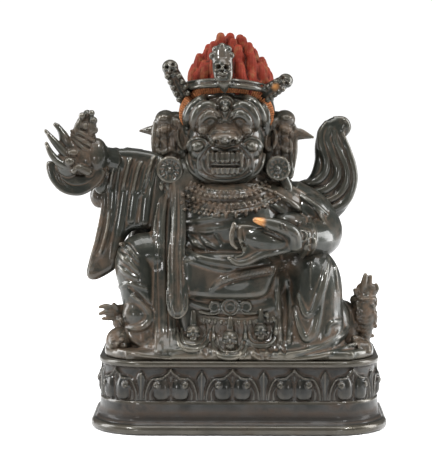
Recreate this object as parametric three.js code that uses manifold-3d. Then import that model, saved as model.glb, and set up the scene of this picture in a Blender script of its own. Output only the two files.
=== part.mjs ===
// A cast bronze figure of a squat, wrathful guardian in a wide-sleeved cloak, on a lotus plinth cast apart.
// He has a flaming head of hair with a crown of skulls, a raised right hand with a crescent chopper, a left
// hand before his chest, and crushes a small prostrate body whose head, arms and foot show at both sides.
// Millimetres, +Z up, +X to the viewer's right; he faces -Y. The origin is the centre of the underside.
import * as THREE from "three";
import { MeshoptSimplifier } from "three/addons/libs/meshopt_simplifier.module.js";
import { mergeVertices } from "three/addons/utils/BufferGeometryUtils.js";
import Module from "manifold-3d";

const wasm = await Module();
wasm.setup();
await MeshoptSimplifier.ready;

// Driving dimensions
const FIGURE_HEIGHT = 160; // from the seat to the tip of the hair
const FIGURE_CORNERS = 3800; // kept of the figure's joined surface, which has three times as many
const PLINTH_CORNERS = 1150; // and of the plinth's
const MOST_ATTEMPTS = 20; // at keeping its folds apart
const SHORTEST_EDGE = 0.002; // corners of a joined surface closer than this are one
const SEAT_GAP = 0.3; // between the plinth's top and the figure's flat seat
const PLINTH_HEIGHT = 36.5;
const BAND_WIDTH = 140; // the plinth's plain wall, and the rim above its petals
const BAND_DEPTH = 86;
const CORNER_RADIUS = 24; // of the wall, in plan
const FOOT_FLARE = 4.5; // how far the foot stands out from the wall
const FOOT_HEIGHT = 6;
const FOOT_ROUNDING = 2;
const BAND_TOP = 17; // where the petals start
const RIM_HEIGHT = 2.6; // the plain rim above the petals
const TIER_SWELL = -0.9; // how far the wall stands out behind the petals; it is sunk a little there
const PETAL_PITCH = 30.4; // wanted spacing along the wall; a whole number of petals is fitted
const PETAL_PROUD = 1.1; // thickness of a petal's rim in front of the wall
const LOBE_PROUD = 2.4; // how far its two lobes stand out
const PETAL_FILL = 0.96; // share of the pitch that a petal takes
const PETAL_SHIFT = 3; // how far the front's middle petal stands to the viewer's left
const HEM_INSET = 2.4; // from the plinth's wall in to the edge of the figure's base
const HEM_HEIGHT = 4.4; // of that base, above the seat
const HEM_ROUNDING = 2;

const BRONZE = new THREE.MeshStandardMaterial({ color: 0x2e2b27, roughness: 0.38, metalness: 0.9 });
const BRONZE_PLINTH = new THREE.MeshStandardMaterial({ color: 0x2a2522, roughness: 0.42, metalness: 0.9 });

// Solids and geometries

// A geometry with only its positions, whose corners closer than a tolerance are merged. Faces that shrink to
// a line are dropped, and so are two faces that come to lie back to back.
function merged(geometry, tolerance) {
  const bare = new THREE.BufferGeometry();
  bare.setAttribute("position", geometry.getAttribute("position"));
  bare.setIndex(geometry.getIndex());
  const result = mergeVertices(bare, tolerance);
  const corners = result.getIndex().array;
  const faces = new Map(); // three corners from the lowest up, and which way round the face runs
  for (let i = 0; i < corners.length; i += 3) {
    const face = [...corners.slice(i, i + 3)];
    const [low, middle, high] = [...face].sort((one, other) => one - other);
    if (low === middle || middle === high) continue;
    const way = face[(face.indexOf(low) + 1) % 3] === middle ? 1 : -1;
    const key = `${low} ${middle} ${high}`;
    faces.set(key, (faces.get(key) ?? 0) + way);
  }
  const kept = [...faces].filter(([, way]) => way !== 0).map(([key, way]) => {
    const [low, middle, high] = key.split(" ").map(Number);
    return way > 0 ? [low, middle, high] : [low, high, middle];
  });
  result.setIndex(kept.flat());
  return result;
}

// A closed geometry as a solid with its faces pointing out.
function solidOf(geometry) {
  const closed = merged(geometry, 1e-4);
  const vertProperties = new Float32Array(closed.getAttribute("position").array);
  const make = (corners) => new wasm.Manifold(new wasm.Mesh({
    numProp: 3, vertProperties, triVerts: new Uint32Array(corners),
  }));
  const solid = make(closed.getIndex().array);
  return solid.volume() > 0 ? solid : make([...closed.getIndex().array].reverse());
}

function geometryOf(solid) {
  const mesh = solid.getMesh();
  const geometry = new THREE.BufferGeometry();
  geometry.setAttribute("position", new THREE.BufferAttribute(mesh.vertProperties, 3));
  geometry.setIndex(new THREE.BufferAttribute(mesh.triVerts, 1));
  geometry.computeVertexNormals();
  return geometry;
}

const join = (solids) => solids.reduce((sum, solid) => sum.add(solid));

// The faces along each edge of a geometry, under the edge's two corners.
function facesByEdge(geometry) {
  const corners = geometry.getIndex().array;
  const edges = new Map();
  for (let i = 0; i < corners.length; i++) {
    const face = Math.floor(i / 3);
    const [a, b] = [corners[i], corners[3 * face + ((i + 1) % 3)]].sort((one, other) => one - other);
    const key = `${a} ${b}`;
    if (!edges.has(key)) edges.set(key, { ends: [a, b], faces: [] });
    edges.get(key).faces.push(face);
  }
  return [...edges.values()];
}

// The largest skin of a geometry: metal fills the small pockets that crossing folds close off.
function outerSkin(geometry) {
  const corners = geometry.getIndex().array;
  const parent = [...Array(corners.length / 3).keys()];
  const root = (face) => {
    while (parent[face] !== face) face = parent[face] = parent[parent[face]];
    return face;
  };
  for (const { faces } of facesByEdge(geometry)) {
    if (faces.length === 2) parent[root(faces[0])] = root(faces[1]);
  }
  const skins = new Map();
  for (let face = 0; face < parent.length; face++) {
    if (!skins.has(root(face))) skins.set(root(face), []);
    skins.get(root(face)).push(face);
  }
  const largest = [...skins.values()].reduce((most, skin) => (skin.length > most.length ? skin : most));
  geometry.setIndex(largest.flatMap((face) => [...corners.slice(3 * face, 3 * face + 3)]));
  return geometry;
}

// The same surface with about `count` corners: the flattest ones go first, so outlines and creases stay.
// Where that would make two folds touch along an edge, the corners around it are kept and it starts again.
function withCorners(solid, count) {
  const geometry = outerSkin(merged(geometryOf(solid), SHORTEST_EDGE));
  const corners = new Uint32Array(geometry.getIndex().array);
  const positions = geometry.getAttribute("position").array;
  const kept = new Uint8Array(positions.length / 3);
  const wanted = Math.floor(corners.length * (count / kept.length) / 3) * 3;
  const near = [...kept].map(() => []);
  for (const { ends: [a, b] } of facesByEdge(geometry)) {
    near[a].push(b);
    near[b].push(a);
  }
  for (let attempt = 0; attempt < MOST_ATTEMPTS; attempt++) {
    const [index] = MeshoptSimplifier.simplifyWithAttributes(corners, positions, 3, new Float32Array(kept.length), 1,
      [0], kept, wanted, 1);
    geometry.setIndex(new THREE.BufferAttribute(index, 1));
    const touching = facesByEdge(geometry).filter(({ faces }) => faces.length !== 2).flatMap(({ ends }) => ends);
    if (touching.length === 0) break;
    for (const corner of touching.flatMap((end) => [end, ...near[end]])) {
      for (const close of [corner, ...near[corner]]) kept[close] = 1;
    }
  }
  const simple = mergeVertices(outerSkin(geometry).toNonIndexed(), 1e-4);
  simple.computeVertexNormals();
  return simple;
}

// Moves each corner of a geometry to where place(x, y, z) puts it.
function reshape(geometry, place) {
  const position = geometry.getAttribute("position");
  const corner = new THREE.Vector3();
  for (let i = 0; i < position.count; i++) {
    corner.fromBufferAttribute(position, i);
    position.setXYZ(i, ...place(corner.x, corner.y, corner.z).toArray());
  }
  return geometry;
}

// The plinth: a rounded rectangle in plan, moulded in profile, with petals wrapped round its wall

const CORNER_STEPS = 4; // facets in a quarter turn of the wall

// A point of the wall's plan at a distance along it from the front's middle, moved out by `out`.
// The plan runs anticlockwise seen from above: front, viewer's right, back, viewer's left.
function alongWall(distance, out) {
  const halfWidth = BAND_WIDTH / 2 - CORNER_RADIUS;
  const halfDepth = BAND_DEPTH / 2 - CORNER_RADIUS;
  const quarter = (Math.PI / 2) * CORNER_RADIUS;
  const halfway = 2 * (halfWidth + halfDepth + quarter);
  const whole = 2 * halfway;
  let left = ((distance % whole) + whole) % whole;
  const turned = left >= halfway ? -1 : 1; // the back half is the front half turned round
  left -= turned < 0 ? halfway : 0;
  let x, y;
  if (left < halfWidth) {
    [x, y] = [left, -halfDepth - CORNER_RADIUS - out];
  } else if (left < halfWidth + quarter) {
    const angle = (left - halfWidth) / CORNER_RADIUS;
    x = halfWidth + Math.sin(angle) * (CORNER_RADIUS + out);
    y = -halfDepth - Math.cos(angle) * (CORNER_RADIUS + out);
  } else if (left < halfWidth + quarter + 2 * halfDepth) {
    [x, y] = [halfWidth + CORNER_RADIUS + out, left - halfWidth - quarter - halfDepth];
  } else if (left < halfWidth + 2 * quarter + 2 * halfDepth) {
    const angle = (left - halfWidth - quarter - 2 * halfDepth) / CORNER_RADIUS;
    x = halfWidth + Math.cos(angle) * (CORNER_RADIUS + out);
    y = halfDepth + Math.sin(angle) * (CORNER_RADIUS + out);
  } else {
    [x, y] = [halfWidth - (left - halfWidth - 2 * quarter - 2 * halfDepth), halfDepth + CORNER_RADIUS + out];
  }
  return [turned * x, turned * y];
}

function wallLength() {
  return 2 * (BAND_WIDTH + BAND_DEPTH - 4 * CORNER_RADIUS) + 2 * Math.PI * CORNER_RADIUS;
}

// Distances along the wall where its plan needs a corner: the facets of the four rounded corners.
function planStops() {
  const halfWidth = BAND_WIDTH / 2 - CORNER_RADIUS;
  const depth = BAND_DEPTH - 2 * CORNER_RADIUS;
  const quarter = (Math.PI / 2) * CORNER_RADIUS;
  const starts = [halfWidth, halfWidth + quarter + depth];
  const half = starts.flatMap((start) => [...Array(CORNER_STEPS + 1).keys()]
    .map((step) => start + (quarter * step) / CORNER_STEPS));
  return [...half, ...half.map((stop) => stop + wallLength() / 2)];
}

// The moulded block: a lathe whose rings are drawn out to the wall's plan.
function plinthBlock() {
  const stops = planStops();
  const rimTop = PLINTH_HEIGHT;
  const rimFoot = rimTop - RIM_HEIGHT;
  const levels = [
    [FOOT_FLARE - FOOT_ROUNDING, 0], [FOOT_FLARE, FOOT_ROUNDING], [FOOT_FLARE, FOOT_HEIGHT - FOOT_ROUNDING],
    [FOOT_FLARE - FOOT_ROUNDING, FOOT_HEIGHT], [0, FOOT_HEIGHT + 0.4], [0, BAND_TOP - 0.8], [TIER_SWELL, BAND_TOP],
    [TIER_SWELL, (BAND_TOP + rimFoot) / 2], [0, rimFoot], [0.6, rimFoot + 0.5], [0.6, rimTop - 0.8], [0, rimTop],
  ];
  const reach = BAND_WIDTH / 2; // a ring's radius in the lathe is this plus how far it stands out
  const profile = [
    new THREE.Vector2(0, 0),
    ...levels.map(([out, z]) => new THREE.Vector2(reach + out, z)),
    new THREE.Vector2(0, rimTop),
  ];
  const lathe = new THREE.LatheGeometry(profile, stops.length);
  return solidOf(reshape(lathe, (x, y, z) => {
    const radius = Math.hypot(x, z);
    if (radius < 1e-6) return new THREE.Vector3(0, 0, y);
    const turn = (Math.atan2(x, z) / (2 * Math.PI)) * stops.length;
    const stop = stops[((Math.round(turn) % stops.length) + stops.length) % stops.length];
    return new THREE.Vector3(...alongWall(stop, radius - reach), y);
  }));
}

// One petal: an ogee leaf with a cusp at its top, and two swelling lobes either side of a keel.
function petal(distance, pitch) {
  const foot = BAND_TOP;
  const tall = PLINTH_HEIGHT - RIM_HEIGHT - BAND_TOP - 0.4;
  const half = (pitch * PETAL_FILL) / 2;
  const sink = 0.8; // the leaf starts inside the wall
  const leaf = new THREE.Shape();
  leaf.moveTo(half * 0.75, 0);
  leaf.quadraticCurveTo(half * 0.98, tall * 0.3, half, tall * 0.62);
  leaf.bezierCurveTo(half, tall * 0.92, half * 0.35, tall * 0.78, 0, tall);
  leaf.bezierCurveTo(-half * 0.35, tall * 0.78, -half, tall * 0.92, -half, tall * 0.62);
  leaf.quadraticCurveTo(-half * 0.98, tall * 0.3, -half * 0.75, 0);
  const plate = new THREE.ExtrudeGeometry(leaf, {
    depth: PETAL_PROUD + sink, curveSegments: 4, bevelEnabled: false,
  });
  const wrap = (x, y, z) => new THREE.Vector3(...alongWall(distance + x, z - sink + TIER_SWELL), foot + y);
  const solids = [solidOf(reshape(plate, wrap))];
  for (const side of [-1, 1]) {
    const lobe = new THREE.SphereGeometry(1, 8, 4);
    lobe.rotateX(Math.PI / 2); // a pole faces out
    lobe.scale(half * 0.42, tall * 0.38, LOBE_PROUD);
    lobe.translate(side * half * 0.42, tall * 0.38, sink);
    solids.push(solidOf(reshape(lobe, wrap)));
  }
  const bud = new THREE.SphereGeometry(1, 6, 4); // a leaf tip between two petals
  bud.scale(pitch * 0.075, tall * 0.17, PETAL_PROUD);
  bud.translate(pitch / 2, tall * 0.8, sink);
  solids.push(solidOf(reshape(bud, wrap)));
  return join(solids);
}

function plinth() {
  const count = 2 * Math.round(wallLength() / PETAL_PITCH / 2);
  const pitch = wallLength() / count;
  const petals = [...Array(count).keys()].map((i) => petal(i * pitch - PETAL_SHIFT, pitch));
  return join([plinthBlock(), ...petals]);
}

// The figure, modelled in shares of its own height: one unit is a 160th of it, and z 0 is the seat

const UNIT = FIGURE_HEIGHT / 160;
const at = ([x, y, z]) => new THREE.Vector3(x, y, z).multiplyScalar(UNIT);

// An ellipsoid, turned about X, Y and Z in degrees.
function ball(centre, size, { turn = [0, 0, 0], around = 8, down = 6 } = {}) {
  const geometry = new THREE.SphereGeometry(1, around, down);
  const angles = turn.map((degrees) => THREE.MathUtils.degToRad(degrees));
  geometry.rotateX(Math.PI / 2); // its poles up and down
  geometry.scale(...size.map((half) => half * UNIT));
  geometry.applyMatrix4(new THREE.Matrix4().makeRotationFromEuler(new THREE.Euler(...angles)));
  geometry.translate(...at(centre).toArray());
  return solidOf(geometry);
}

// A tapering limb, lock, fold or ribbon: a lathe bent along a smooth curve through the points.
// `flat` thins it along `facing`, so that a ribbon shows its broad side that way.
function limb(points, radii, { sides = 7, steps = 6, flat = 1, facing = [0, -1, 0] } = {}) {
  const curve = new THREE.CatmullRomCurve3(points.map(at));
  const length = curve.getLength();
  const radiusAt = (share) => {
    const place = share * (radii.length - 1);
    const low = Math.min(Math.floor(place), radii.length - 2);
    return THREE.MathUtils.lerp(radii[low], radii[low + 1], place - low) * UNIT;
  };
  const [first, last] = [radiusAt(0), radiusAt(1)];
  const profile = [new THREE.Vector2(0, -first * 0.7)];
  for (let i = 0; i <= steps; i++) {
    profile.push(new THREE.Vector2(radiusAt(i / steps), (length * i) / steps));
  }
  profile.push(new THREE.Vector2(0, length + last * 0.7));
  const lathe = new THREE.LatheGeometry(profile, sides);
  return solidOf(reshape(lathe, (x, y, z) => {
    const share = THREE.MathUtils.clamp(y / length, 0, 1);
    const along = curve.getTangentAt(share);
    const spine = curve.getPointAt(share).addScaledVector(along, y - share * length);
    const front = new THREE.Vector3(...facing);
    front.addScaledVector(along, -front.dot(along)).normalize();
    const across = new THREE.Vector3().crossVectors(along, front);
    return spine.addScaledVector(across, x).addScaledVector(front, z * flat);
  }));
}

// A body of stacked ovals [z, centre x, centre y, half width, half depth], fluted by ripple(angle, z).
function stack(ovals, sides, ripple = () => 0) {
  const top = ovals.length - 1;
  const profile = [
    new THREE.Vector2(0, 0), ...ovals.map((_, i) => new THREE.Vector2(1, i)), new THREE.Vector2(0, top),
  ];
  const lathe = new THREE.LatheGeometry(profile, sides);
  return solidOf(reshape(lathe, (x, y, z) => {
    const [height, middleX, middleY, halfWidth, halfDepth] = ovals[Math.round(y)];
    const angle = Math.atan2(z, x);
    const swell = Math.hypot(x, z) > 0.5 ? ripple(angle, height) : 0;
    return at([middleX + x * halfWidth + Math.cos(angle) * swell,
      middleY + z * halfDepth + Math.sin(angle) * swell, height]);
  }));
}

// A round boss or earring of a given radius, facing along `facing`, with a raised rim and a middle stud.
function rosette(centre, radius, facing, sides = 10) {
  const profile = [[0, -1.6], [radius, -1.6], [radius, 0.9], [radius * 0.78, 1.2], [radius * 0.62, 0.4],
    [radius * 0.3, 0.5], [0, 1.5]].map(([r, y]) => new THREE.Vector2(r * UNIT, y * UNIT));
  const lathe = new THREE.LatheGeometry(profile, sides);
  const turn = new THREE.Quaternion().setFromUnitVectors(
    new THREE.Vector3(0, 1, 0), new THREE.Vector3(...facing).normalize());
  lathe.applyQuaternion(turn);
  lathe.translate(...at(centre).toArray());
  return solidOf(lathe);
}

// A slab with a smooth outline of [x, z] points and rounded edges, its broad sides to the front and back.
function slab(outline, middleY, halfThickness, rounding, stops = 26) {
  const closed = new THREE.CatmullRomCurve3(outline.map(([x, z]) => at([x, z, 0])), true);
  const shape = new THREE.Shape(closed.getSpacedPoints(stops).slice(0, -1).map(({ x, y }) => new THREE.Vector2(x, y)));
  const geometry = new THREE.ExtrudeGeometry(shape, {
    depth: 2 * (halfThickness - rounding) * UNIT, bevelEnabled: true, bevelThickness: rounding * UNIT,
    bevelSize: rounding * UNIT, bevelOffset: -rounding * UNIT, bevelSegments: 2,
  });
  const nearY = (middleY - halfThickness + rounding) * UNIT;
  return solidOf(reshape(geometry, (x, y, z) => new THREE.Vector3(x, nearY + z, y)));
}

// Finds where a solid's front (side -1) or back (side 1) surface lies, so that folds can be laid on it.
function surfaceFinder(solid) {
  const skin = new THREE.Mesh(geometryOf(solid), new THREE.MeshBasicMaterial());
  const caster = new THREE.Raycaster();
  return (x, z, side, otherwise) => {
    caster.set(at([x, side * 120, z]), new THREE.Vector3(0, -side, 0));
    const hit = caster.intersectObject(skin)[0];
    return hit ? hit.point.y / UNIT : otherwise;
  };
}

// Lays ridges, balls and rosettes on a solid, at [x, z] places seen from the front.
function layerOn(solid) {
  const surface = surfaceFinder(solid);
  // A fold along the points, sunk into the surface by a share of its first radius.
  const ridge = (points, radii, { side = -1, sink = 0.3, ...options } = {}) => {
    let last = side * 30;
    const laid = points.map(([x, z]) => {
      last = surface(x, z, side, last);
      return [x, last - side * radii[0] * sink, z];
    });
    return limb(laid, radii, { steps: 2 * points.length - 1, sides: 5, ...options });
  };
  const knob = (x, z, size, options) => ball([x, surface(x, z, -1, -30), z], size, options);
  const boss = (x, z, radius, sides) => rosette([x, surface(x, z, -1, -30), z], radius, [0, -1, 0], sides);
  return { ridge, knob, boss };
}

// The head: skull and jaw, then the face laid on them

const HEAD_X = -6; // the head stands a little to the viewer's left of the plinth's middle

function headMass() {
  return [
    ball([HEAD_X - 0.6, -6, 109.5], [20.8, 21.5, 25], { around: 16, down: 12 }),
    ball([HEAD_X - 0.6, -12.5, 97], [20, 15.5, 11.6], { around: 16, down: 8 }),
    stack([[92, HEAD_X, 5, 12, 9], [97, HEAD_X, 6, 19, 14], [106, HEAD_X, 5, 21.8, 17.6],
      [120, HEAD_X + 0.5, 3, 22, 19], [131, HEAD_X + 1, 0.5, 22, 20.5], [135.5, HEAD_X + 1.5, -1, 21, 20]], 24,
    (angle) => 0.8 * Math.cos(12 * angle)), // hair hanging behind in ridges
  ];
}

function face(head) {
  const { ridge, knob } = layerOn(join(head));
  const solids = [
    knob(HEAD_X + 0.3, 110.4, [3.6, 5.6, 3.6]), // nose
    knob(HEAD_X - 0.9, 128, [1.8, 1.6, 3.8]), // third eye
    ridge([[HEAD_X - 22.8, 116], [HEAD_X - 20.5, 125], [HEAD_X - 13, 132], [HEAD_X - 0.6, 134.2],
      [HEAD_X + 12, 132], [HEAD_X + 19.6, 125], [HEAD_X + 22.4, 116]], [2, 2.2, 2.2, 2], { steps: 10 }), // hairline
    ridge([[HEAD_X - 11.8, 97.5], [HEAD_X - 10, 103.6], [HEAD_X, 105], [HEAD_X + 10, 103.6],
      [HEAD_X + 11.8, 97.5]], [1.7, 1.8, 1.7], { steps: 9 }), // upper lip
    ridge([[HEAD_X - 11.8, 98], [HEAD_X - 8.5, 91.6], [HEAD_X, 90], [HEAD_X + 8.5, 91.6],
      [HEAD_X + 11.8, 98]], [1.7, 1.6, 1.7], { steps: 8 }), // lower lip
    ridge([[HEAD_X - 8.5, 100.3], [HEAD_X, 100.8], [HEAD_X + 8.5, 100.3]], [1.6, 1.8, 1.6], { steps: 4 }), // teeth
    ridge([[HEAD_X - 8, 95.6], [HEAD_X, 95], [HEAD_X + 8, 95.6]], [1.5, 1.7, 1.5], { steps: 4 }),
    ridge([[HEAD_X - 19, 95], [HEAD_X - 11.5, 88], [HEAD_X, 85.8], [HEAD_X + 11.5, 88], [HEAD_X + 19, 95]],
      [1.5, 2, 1.5], { steps: 8 }), // jaw rim
  ];
  for (const side of [-1, 1]) {
    const out = (reach) => HEAD_X + side * reach;
    solids.push(
      ridge([[out(4.2), 115.2], [out(8.2), 121.5], [out(13.5), 124.6], [out(18.4), 119.5]],
        [1.8, 3, 2.8, 1.2], { steps: 6, sides: 6 }), // eyebrow
      ridge([[out(4.6), 121], [out(9.5), 128], [out(15), 129.2]], [1.3, 1.6, 0.8], { steps: 4 }),
      knob(out(8.4), 112.2, [3.3, 2.3, 2.7]), // eye
      knob(out(4.7), 109.3, [2.5, 4, 2.1]), // nostril
      knob(out(13.4), 105.2, [3.6, 3, 3]), // cheek
      limb([[out(20.5), -9, 116], [out(23.6), -8.5, 107], [out(21.6), -9.5, 99]], [2.6, 3.4, 2.2],
        { steps: 4, sides: 6, flat: 0.7 }), // ear
    );
  }
  return solids;
}

// The upswept hair: rings of pointed locks that lean in to a peak, over a core

const HAIR_X = HEAD_X + 2.4;
const HAIR_SPAN = 21; // half the width of the outer ring

function hair() {
  const rise = (reach) => 160.6 - 18 * (reach / HAIR_SPAN) ** 2.4; // how high a lock's tip is at each reach
  const lock = (reach, angle, radius) => {
    const [x, y] = [Math.cos(angle), Math.sin(angle) * 0.9];
    const top = rise(reach) - radius * 0.5;
    return limb([[HAIR_X + x * reach * 0.94, y * reach * 0.94, 129], [HAIR_X + x * reach, y * reach, (131 + top) / 2],
      [HAIR_X + x * reach * 0.96, y * reach * 0.92, top]], [radius, radius, radius * 0.72], { steps: 3, sides: 6 });
  };
  const ring = (reach, count, radius) => [...Array(count).keys()]
    .map((i) => lock(reach, (2 * Math.PI * (i + 0.5)) / count, radius));
  return [
    ball([HAIR_X, 0, 130], [19, 17.5, 23], { around: 12, down: 8 }),
    lock(0.1, 0, 3.8), ...ring(7.4, 6, 4.1), ...ring(13.4, 9, 4.6), ...ring(HAIR_SPAN - 3, 13, 4.7),
  ];
}

// The crown: a band round the brow and five skulls on it

function crown() {
  const band = new THREE.TorusGeometry(1, 0.075, 5, 24);
  band.scale(22 * UNIT, 21.6 * UNIT, 20 * UNIT);
  band.rotateX(THREE.MathUtils.degToRad(-8)); // higher in front
  band.translate(...at([HAIR_X - 1, -2.6, 133.6]).toArray());
  const skull = (points, radii) => limb(points, radii, { steps: radii.length + 1, sides: 7, flat: 0.8 });
  return [
    solidOf(band),
    skull([[-7.6, -23.5, 133], [-7.8, -23.5, 143], [-8.1, -21, 153.4]], [1.4, 4.6, 5.4, 4.4, 6, 3.4]),
    skull([[-25.5, -9, 126.5], [-31, -11, 135], [-36, -12.5, 144.6]], [4.2, 3.4, 2.8, 3.8, 3]),
    skull([[12, -10, 128.5], [18, -12, 132.6], [25, -12.5, 138]], [3.6, 4.2, 3.4, 4.2, 3.6]),
    skull([[-17, 15, 131], [-18.6, 18, 137], [-19.4, 20, 143]], [3, 3.4, 2.6, 3.4, 2.6]),
    skull([[9, 15, 131], [10.4, 18, 137], [11.2, 20, 143]], [3, 3.4, 2.6, 3.4, 2.6]),
  ];
}

// Ribbon bows, leaf tips, streamers and disc earrings at both sides of the face

function headRibbons() {
  return [
    ball([-33, -6.5, 104], [9.5, 6, 15.5]), ball([20, -6, 103], [7.6, 6.5, 15]), // cloth behind the streamers
    ball([-36.8, -10, 118], [5.6, 4.6, 5]), ball([22.6, -9.5, 118], [5.4, 4.8, 4.6]), // bow loops
    ball([-28, -10, 115], [4.4, 4, 4.6]),
    limb([[-38, -10, 111.7], [-44.5, -10, 112], [-50, -10, 111.8]], [2, 2.8, 0.7], { steps: 4, flat: 0.6 }),
    limb([[24, -10, 110.5], [30.5, -10, 110.2], [37.3, -10, 108.6]], [2.6, 3, 0.7], { steps: 4, flat: 0.6 }),
    limb([[-39, -11, 116], [-40.6, -12, 106], [-39.8, -13, 93]], [2.6, 3, 3], { steps: 3, sides: 6 }),
    limb([[-32.5, -12, 116], [-33.5, -13.5, 106], [-33, -14.5, 96]], [2.6, 3.2, 3], { steps: 3, sides: 6 }),
    limb([[26, -10.5, 114], [27.4, -12, 103], [25.6, -12, 90]], [2.4, 2.6, 2.6], { steps: 3, sides: 6 }),
    limb([[20, -12, 114], [21.4, -13.5, 104], [20.5, -13, 93]], [2.4, 2.6, 2.4], { steps: 3, sides: 6 }),
    rosette([-34.6, -16.6, 92.4], 6.4, [-0.1, -1, 0.05]), rosette([20, -16.8, 93.2], 5.8, [0.15, -1, 0.05]),
    ball([-34.4, -11.5, 92.4], [6, 5.6, 6.4]), ball([20.4, -11.5, 93.2], [5.6, 5.6, 6]), // cloth behind the discs
    ball([-34, -16, 83.5], [3.4, 3, 4]), ball([24.4, -13, 84], [3.8, 4, 4]), // drops below the discs
  ];
}

// The body: a cloak of stacked ovals, broad chest, round belly, collar and draped legs

function cloak() {
  const ripple = (angle, z) => Math.max(0, Math.sin(angle)) * 1.7 * (1 - z / 110) * Math.cos(14 * angle);
  return [
    stack([[-4, 3, -1, 54, 36], [6, 3, -1, 53, 35], [16, 2, 1, 47, 31], [38, 0, 3, 42, 28], [58, -2, 3, 39, 26],
      [74, -3, 2, 37, 23], [86, -4, 1, 31, 19], [94, -5, 0, 22, 14]], 28, ripple),
    ball([-4, -6, 66], [28, 24, 25], { around: 14, down: 8 }), // chest
    ball([-1, -10.5, 36], [27, 25, 19], { around: 14, down: 10 }), // belly
    ball([-2, -13, 16], [29, 20, 17], { around: 12, down: 8 }), // robe between the knees
    ball([HEAD_X, -8, 79.5], [24.5, 20, 9], { around: 14, down: 6 }), // collar
    ball([27, -2, 75], [14, 12, 12]), // viewer's right shoulder
  ];
}

// The low base of the hem, which covers the plinth's top nearly to its rim.
function hemBase() {
  const corner = CORNER_RADIUS - HEM_INSET;
  const [x, y] = [BAND_WIDTH / 2 - CORNER_RADIUS, BAND_DEPTH / 2 - CORNER_RADIUS];
  const outline = new THREE.Shape();
  outline.absarc(x, y, corner, 0, Math.PI / 2);
  outline.absarc(-x, y, corner, Math.PI / 2, Math.PI);
  outline.absarc(-x, -y, corner, Math.PI, 1.5 * Math.PI);
  outline.absarc(x, -y, corner, 1.5 * Math.PI, 2 * Math.PI);
  const base = new THREE.ExtrudeGeometry(outline, {
    depth: HEM_HEIGHT, bevelEnabled: true, bevelThickness: HEM_ROUNDING, bevelSize: HEM_ROUNDING,
    bevelOffset: -HEM_ROUNDING, bevelSegments: 2, curveSegments: 6,
  });
  base.translate(0, 0, -HEM_ROUNDING);
  return solidOf(base);
}

function legs() {
  return [
    limb([[-14, -4, 40], [-36, -14, 49], [-51, -18, 49], [-50, -21, 32], [-47, -22, 8]],
      [13, 12, 10.5, 10.5, 9, 10], { steps: 9, sides: 9 }),
    limb([[18, -4, 40], [32, -16, 44], [38.5, -23, 38], [38.5, -24, 22], [38, -24, 6]],
      [13, 12, 12.5, 13.5, 15], { steps: 8, sides: 9 }),
    ball([46, -13, 16], [11, 12, 15], { turn: [0, -8, 0] }), // robe spread beside the shin
    ball([-50.5, -28, 20], [7.6, 6, 7.6]), // cloth gathered over the ankle
    hemBase(),
    ball([3, -4, 1], [61, 37.5, 9], { around: 22, down: 6 }), // hem spread on the seat
    ball([2, -24, 1], [57, 16, 8], { around: 14, down: 6 }),
    ball([-30, -28, 3], [20, 12, 9]), ball([30, -27, 3], [26, 12, 9]),
  ];
}

// The viewer's left arm, raised, with its wide sleeve hanging to a corner beside the knee

function raisedSleeve() {
  const outline = [[-67.5, 100.5], [-59.4, 102.8], [-49, 102.2], [-38, 99], [-32, 90], [-33, 76], [-38, 63],
    [-46, 62], [-53.8, 61.4], [-58.4, 55], [-61.2, 44], [-66.5, 39.4], [-73.6, 36.4], [-77.2, 39], [-75.6, 47.5],
    [-72, 60], [-69, 73.5], [-67.8, 88]];
  const drape = slab(outline, -10, 6.5, 3.2);
  const arm = limb([[-24, -4, 87], [-42, -8, 93.5], [-56, -11, 95], [-68, -15, 96.5]], [11, 9.5, 8.4, 7], { steps: 5 });
  const { ridge } = layerOn(join([drape, arm]));
  return [
    drape, arm,
    ridge([[-67.4, 96], [-66, 84], [-66.4, 70], [-69.5, 56], [-74.5, 42]], [1.6, 1.8, 1.6]), // turned edge
    ridge([[-61, 99], [-63.5, 88], [-64.5, 78]], [1.6, 2, 1.2]),
    ridge([[-55.5, 100], [-59, 84], [-61, 66], [-65, 48]], [1.8, 2.3, 2, 1]),
    ridge([[-49.5, 100], [-54, 82], [-57, 66]], [1.8, 2.3, 1.2]),
    ridge([[-44.5, 99], [-48.5, 84], [-50.5, 65]], [1.8, 2.4, 2]),
    ridge([[-40, 96], [-44, 80], [-45, 65]], [1.6, 2, 2]),
    ball([-71.8, -13, 78.4], [3.8, 3.6, 4.8]), // inner cuff that peeps out below the blade
    ball([-42, -4, 84], [13, 7, 15]), // cloth between the sleeve and the back, and behind the knee
    ball([-45, 1, 48], [13, 8, 24]),
  ];
}

// The raised hand with the crescent chopper and its thunderbolt handle

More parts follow.
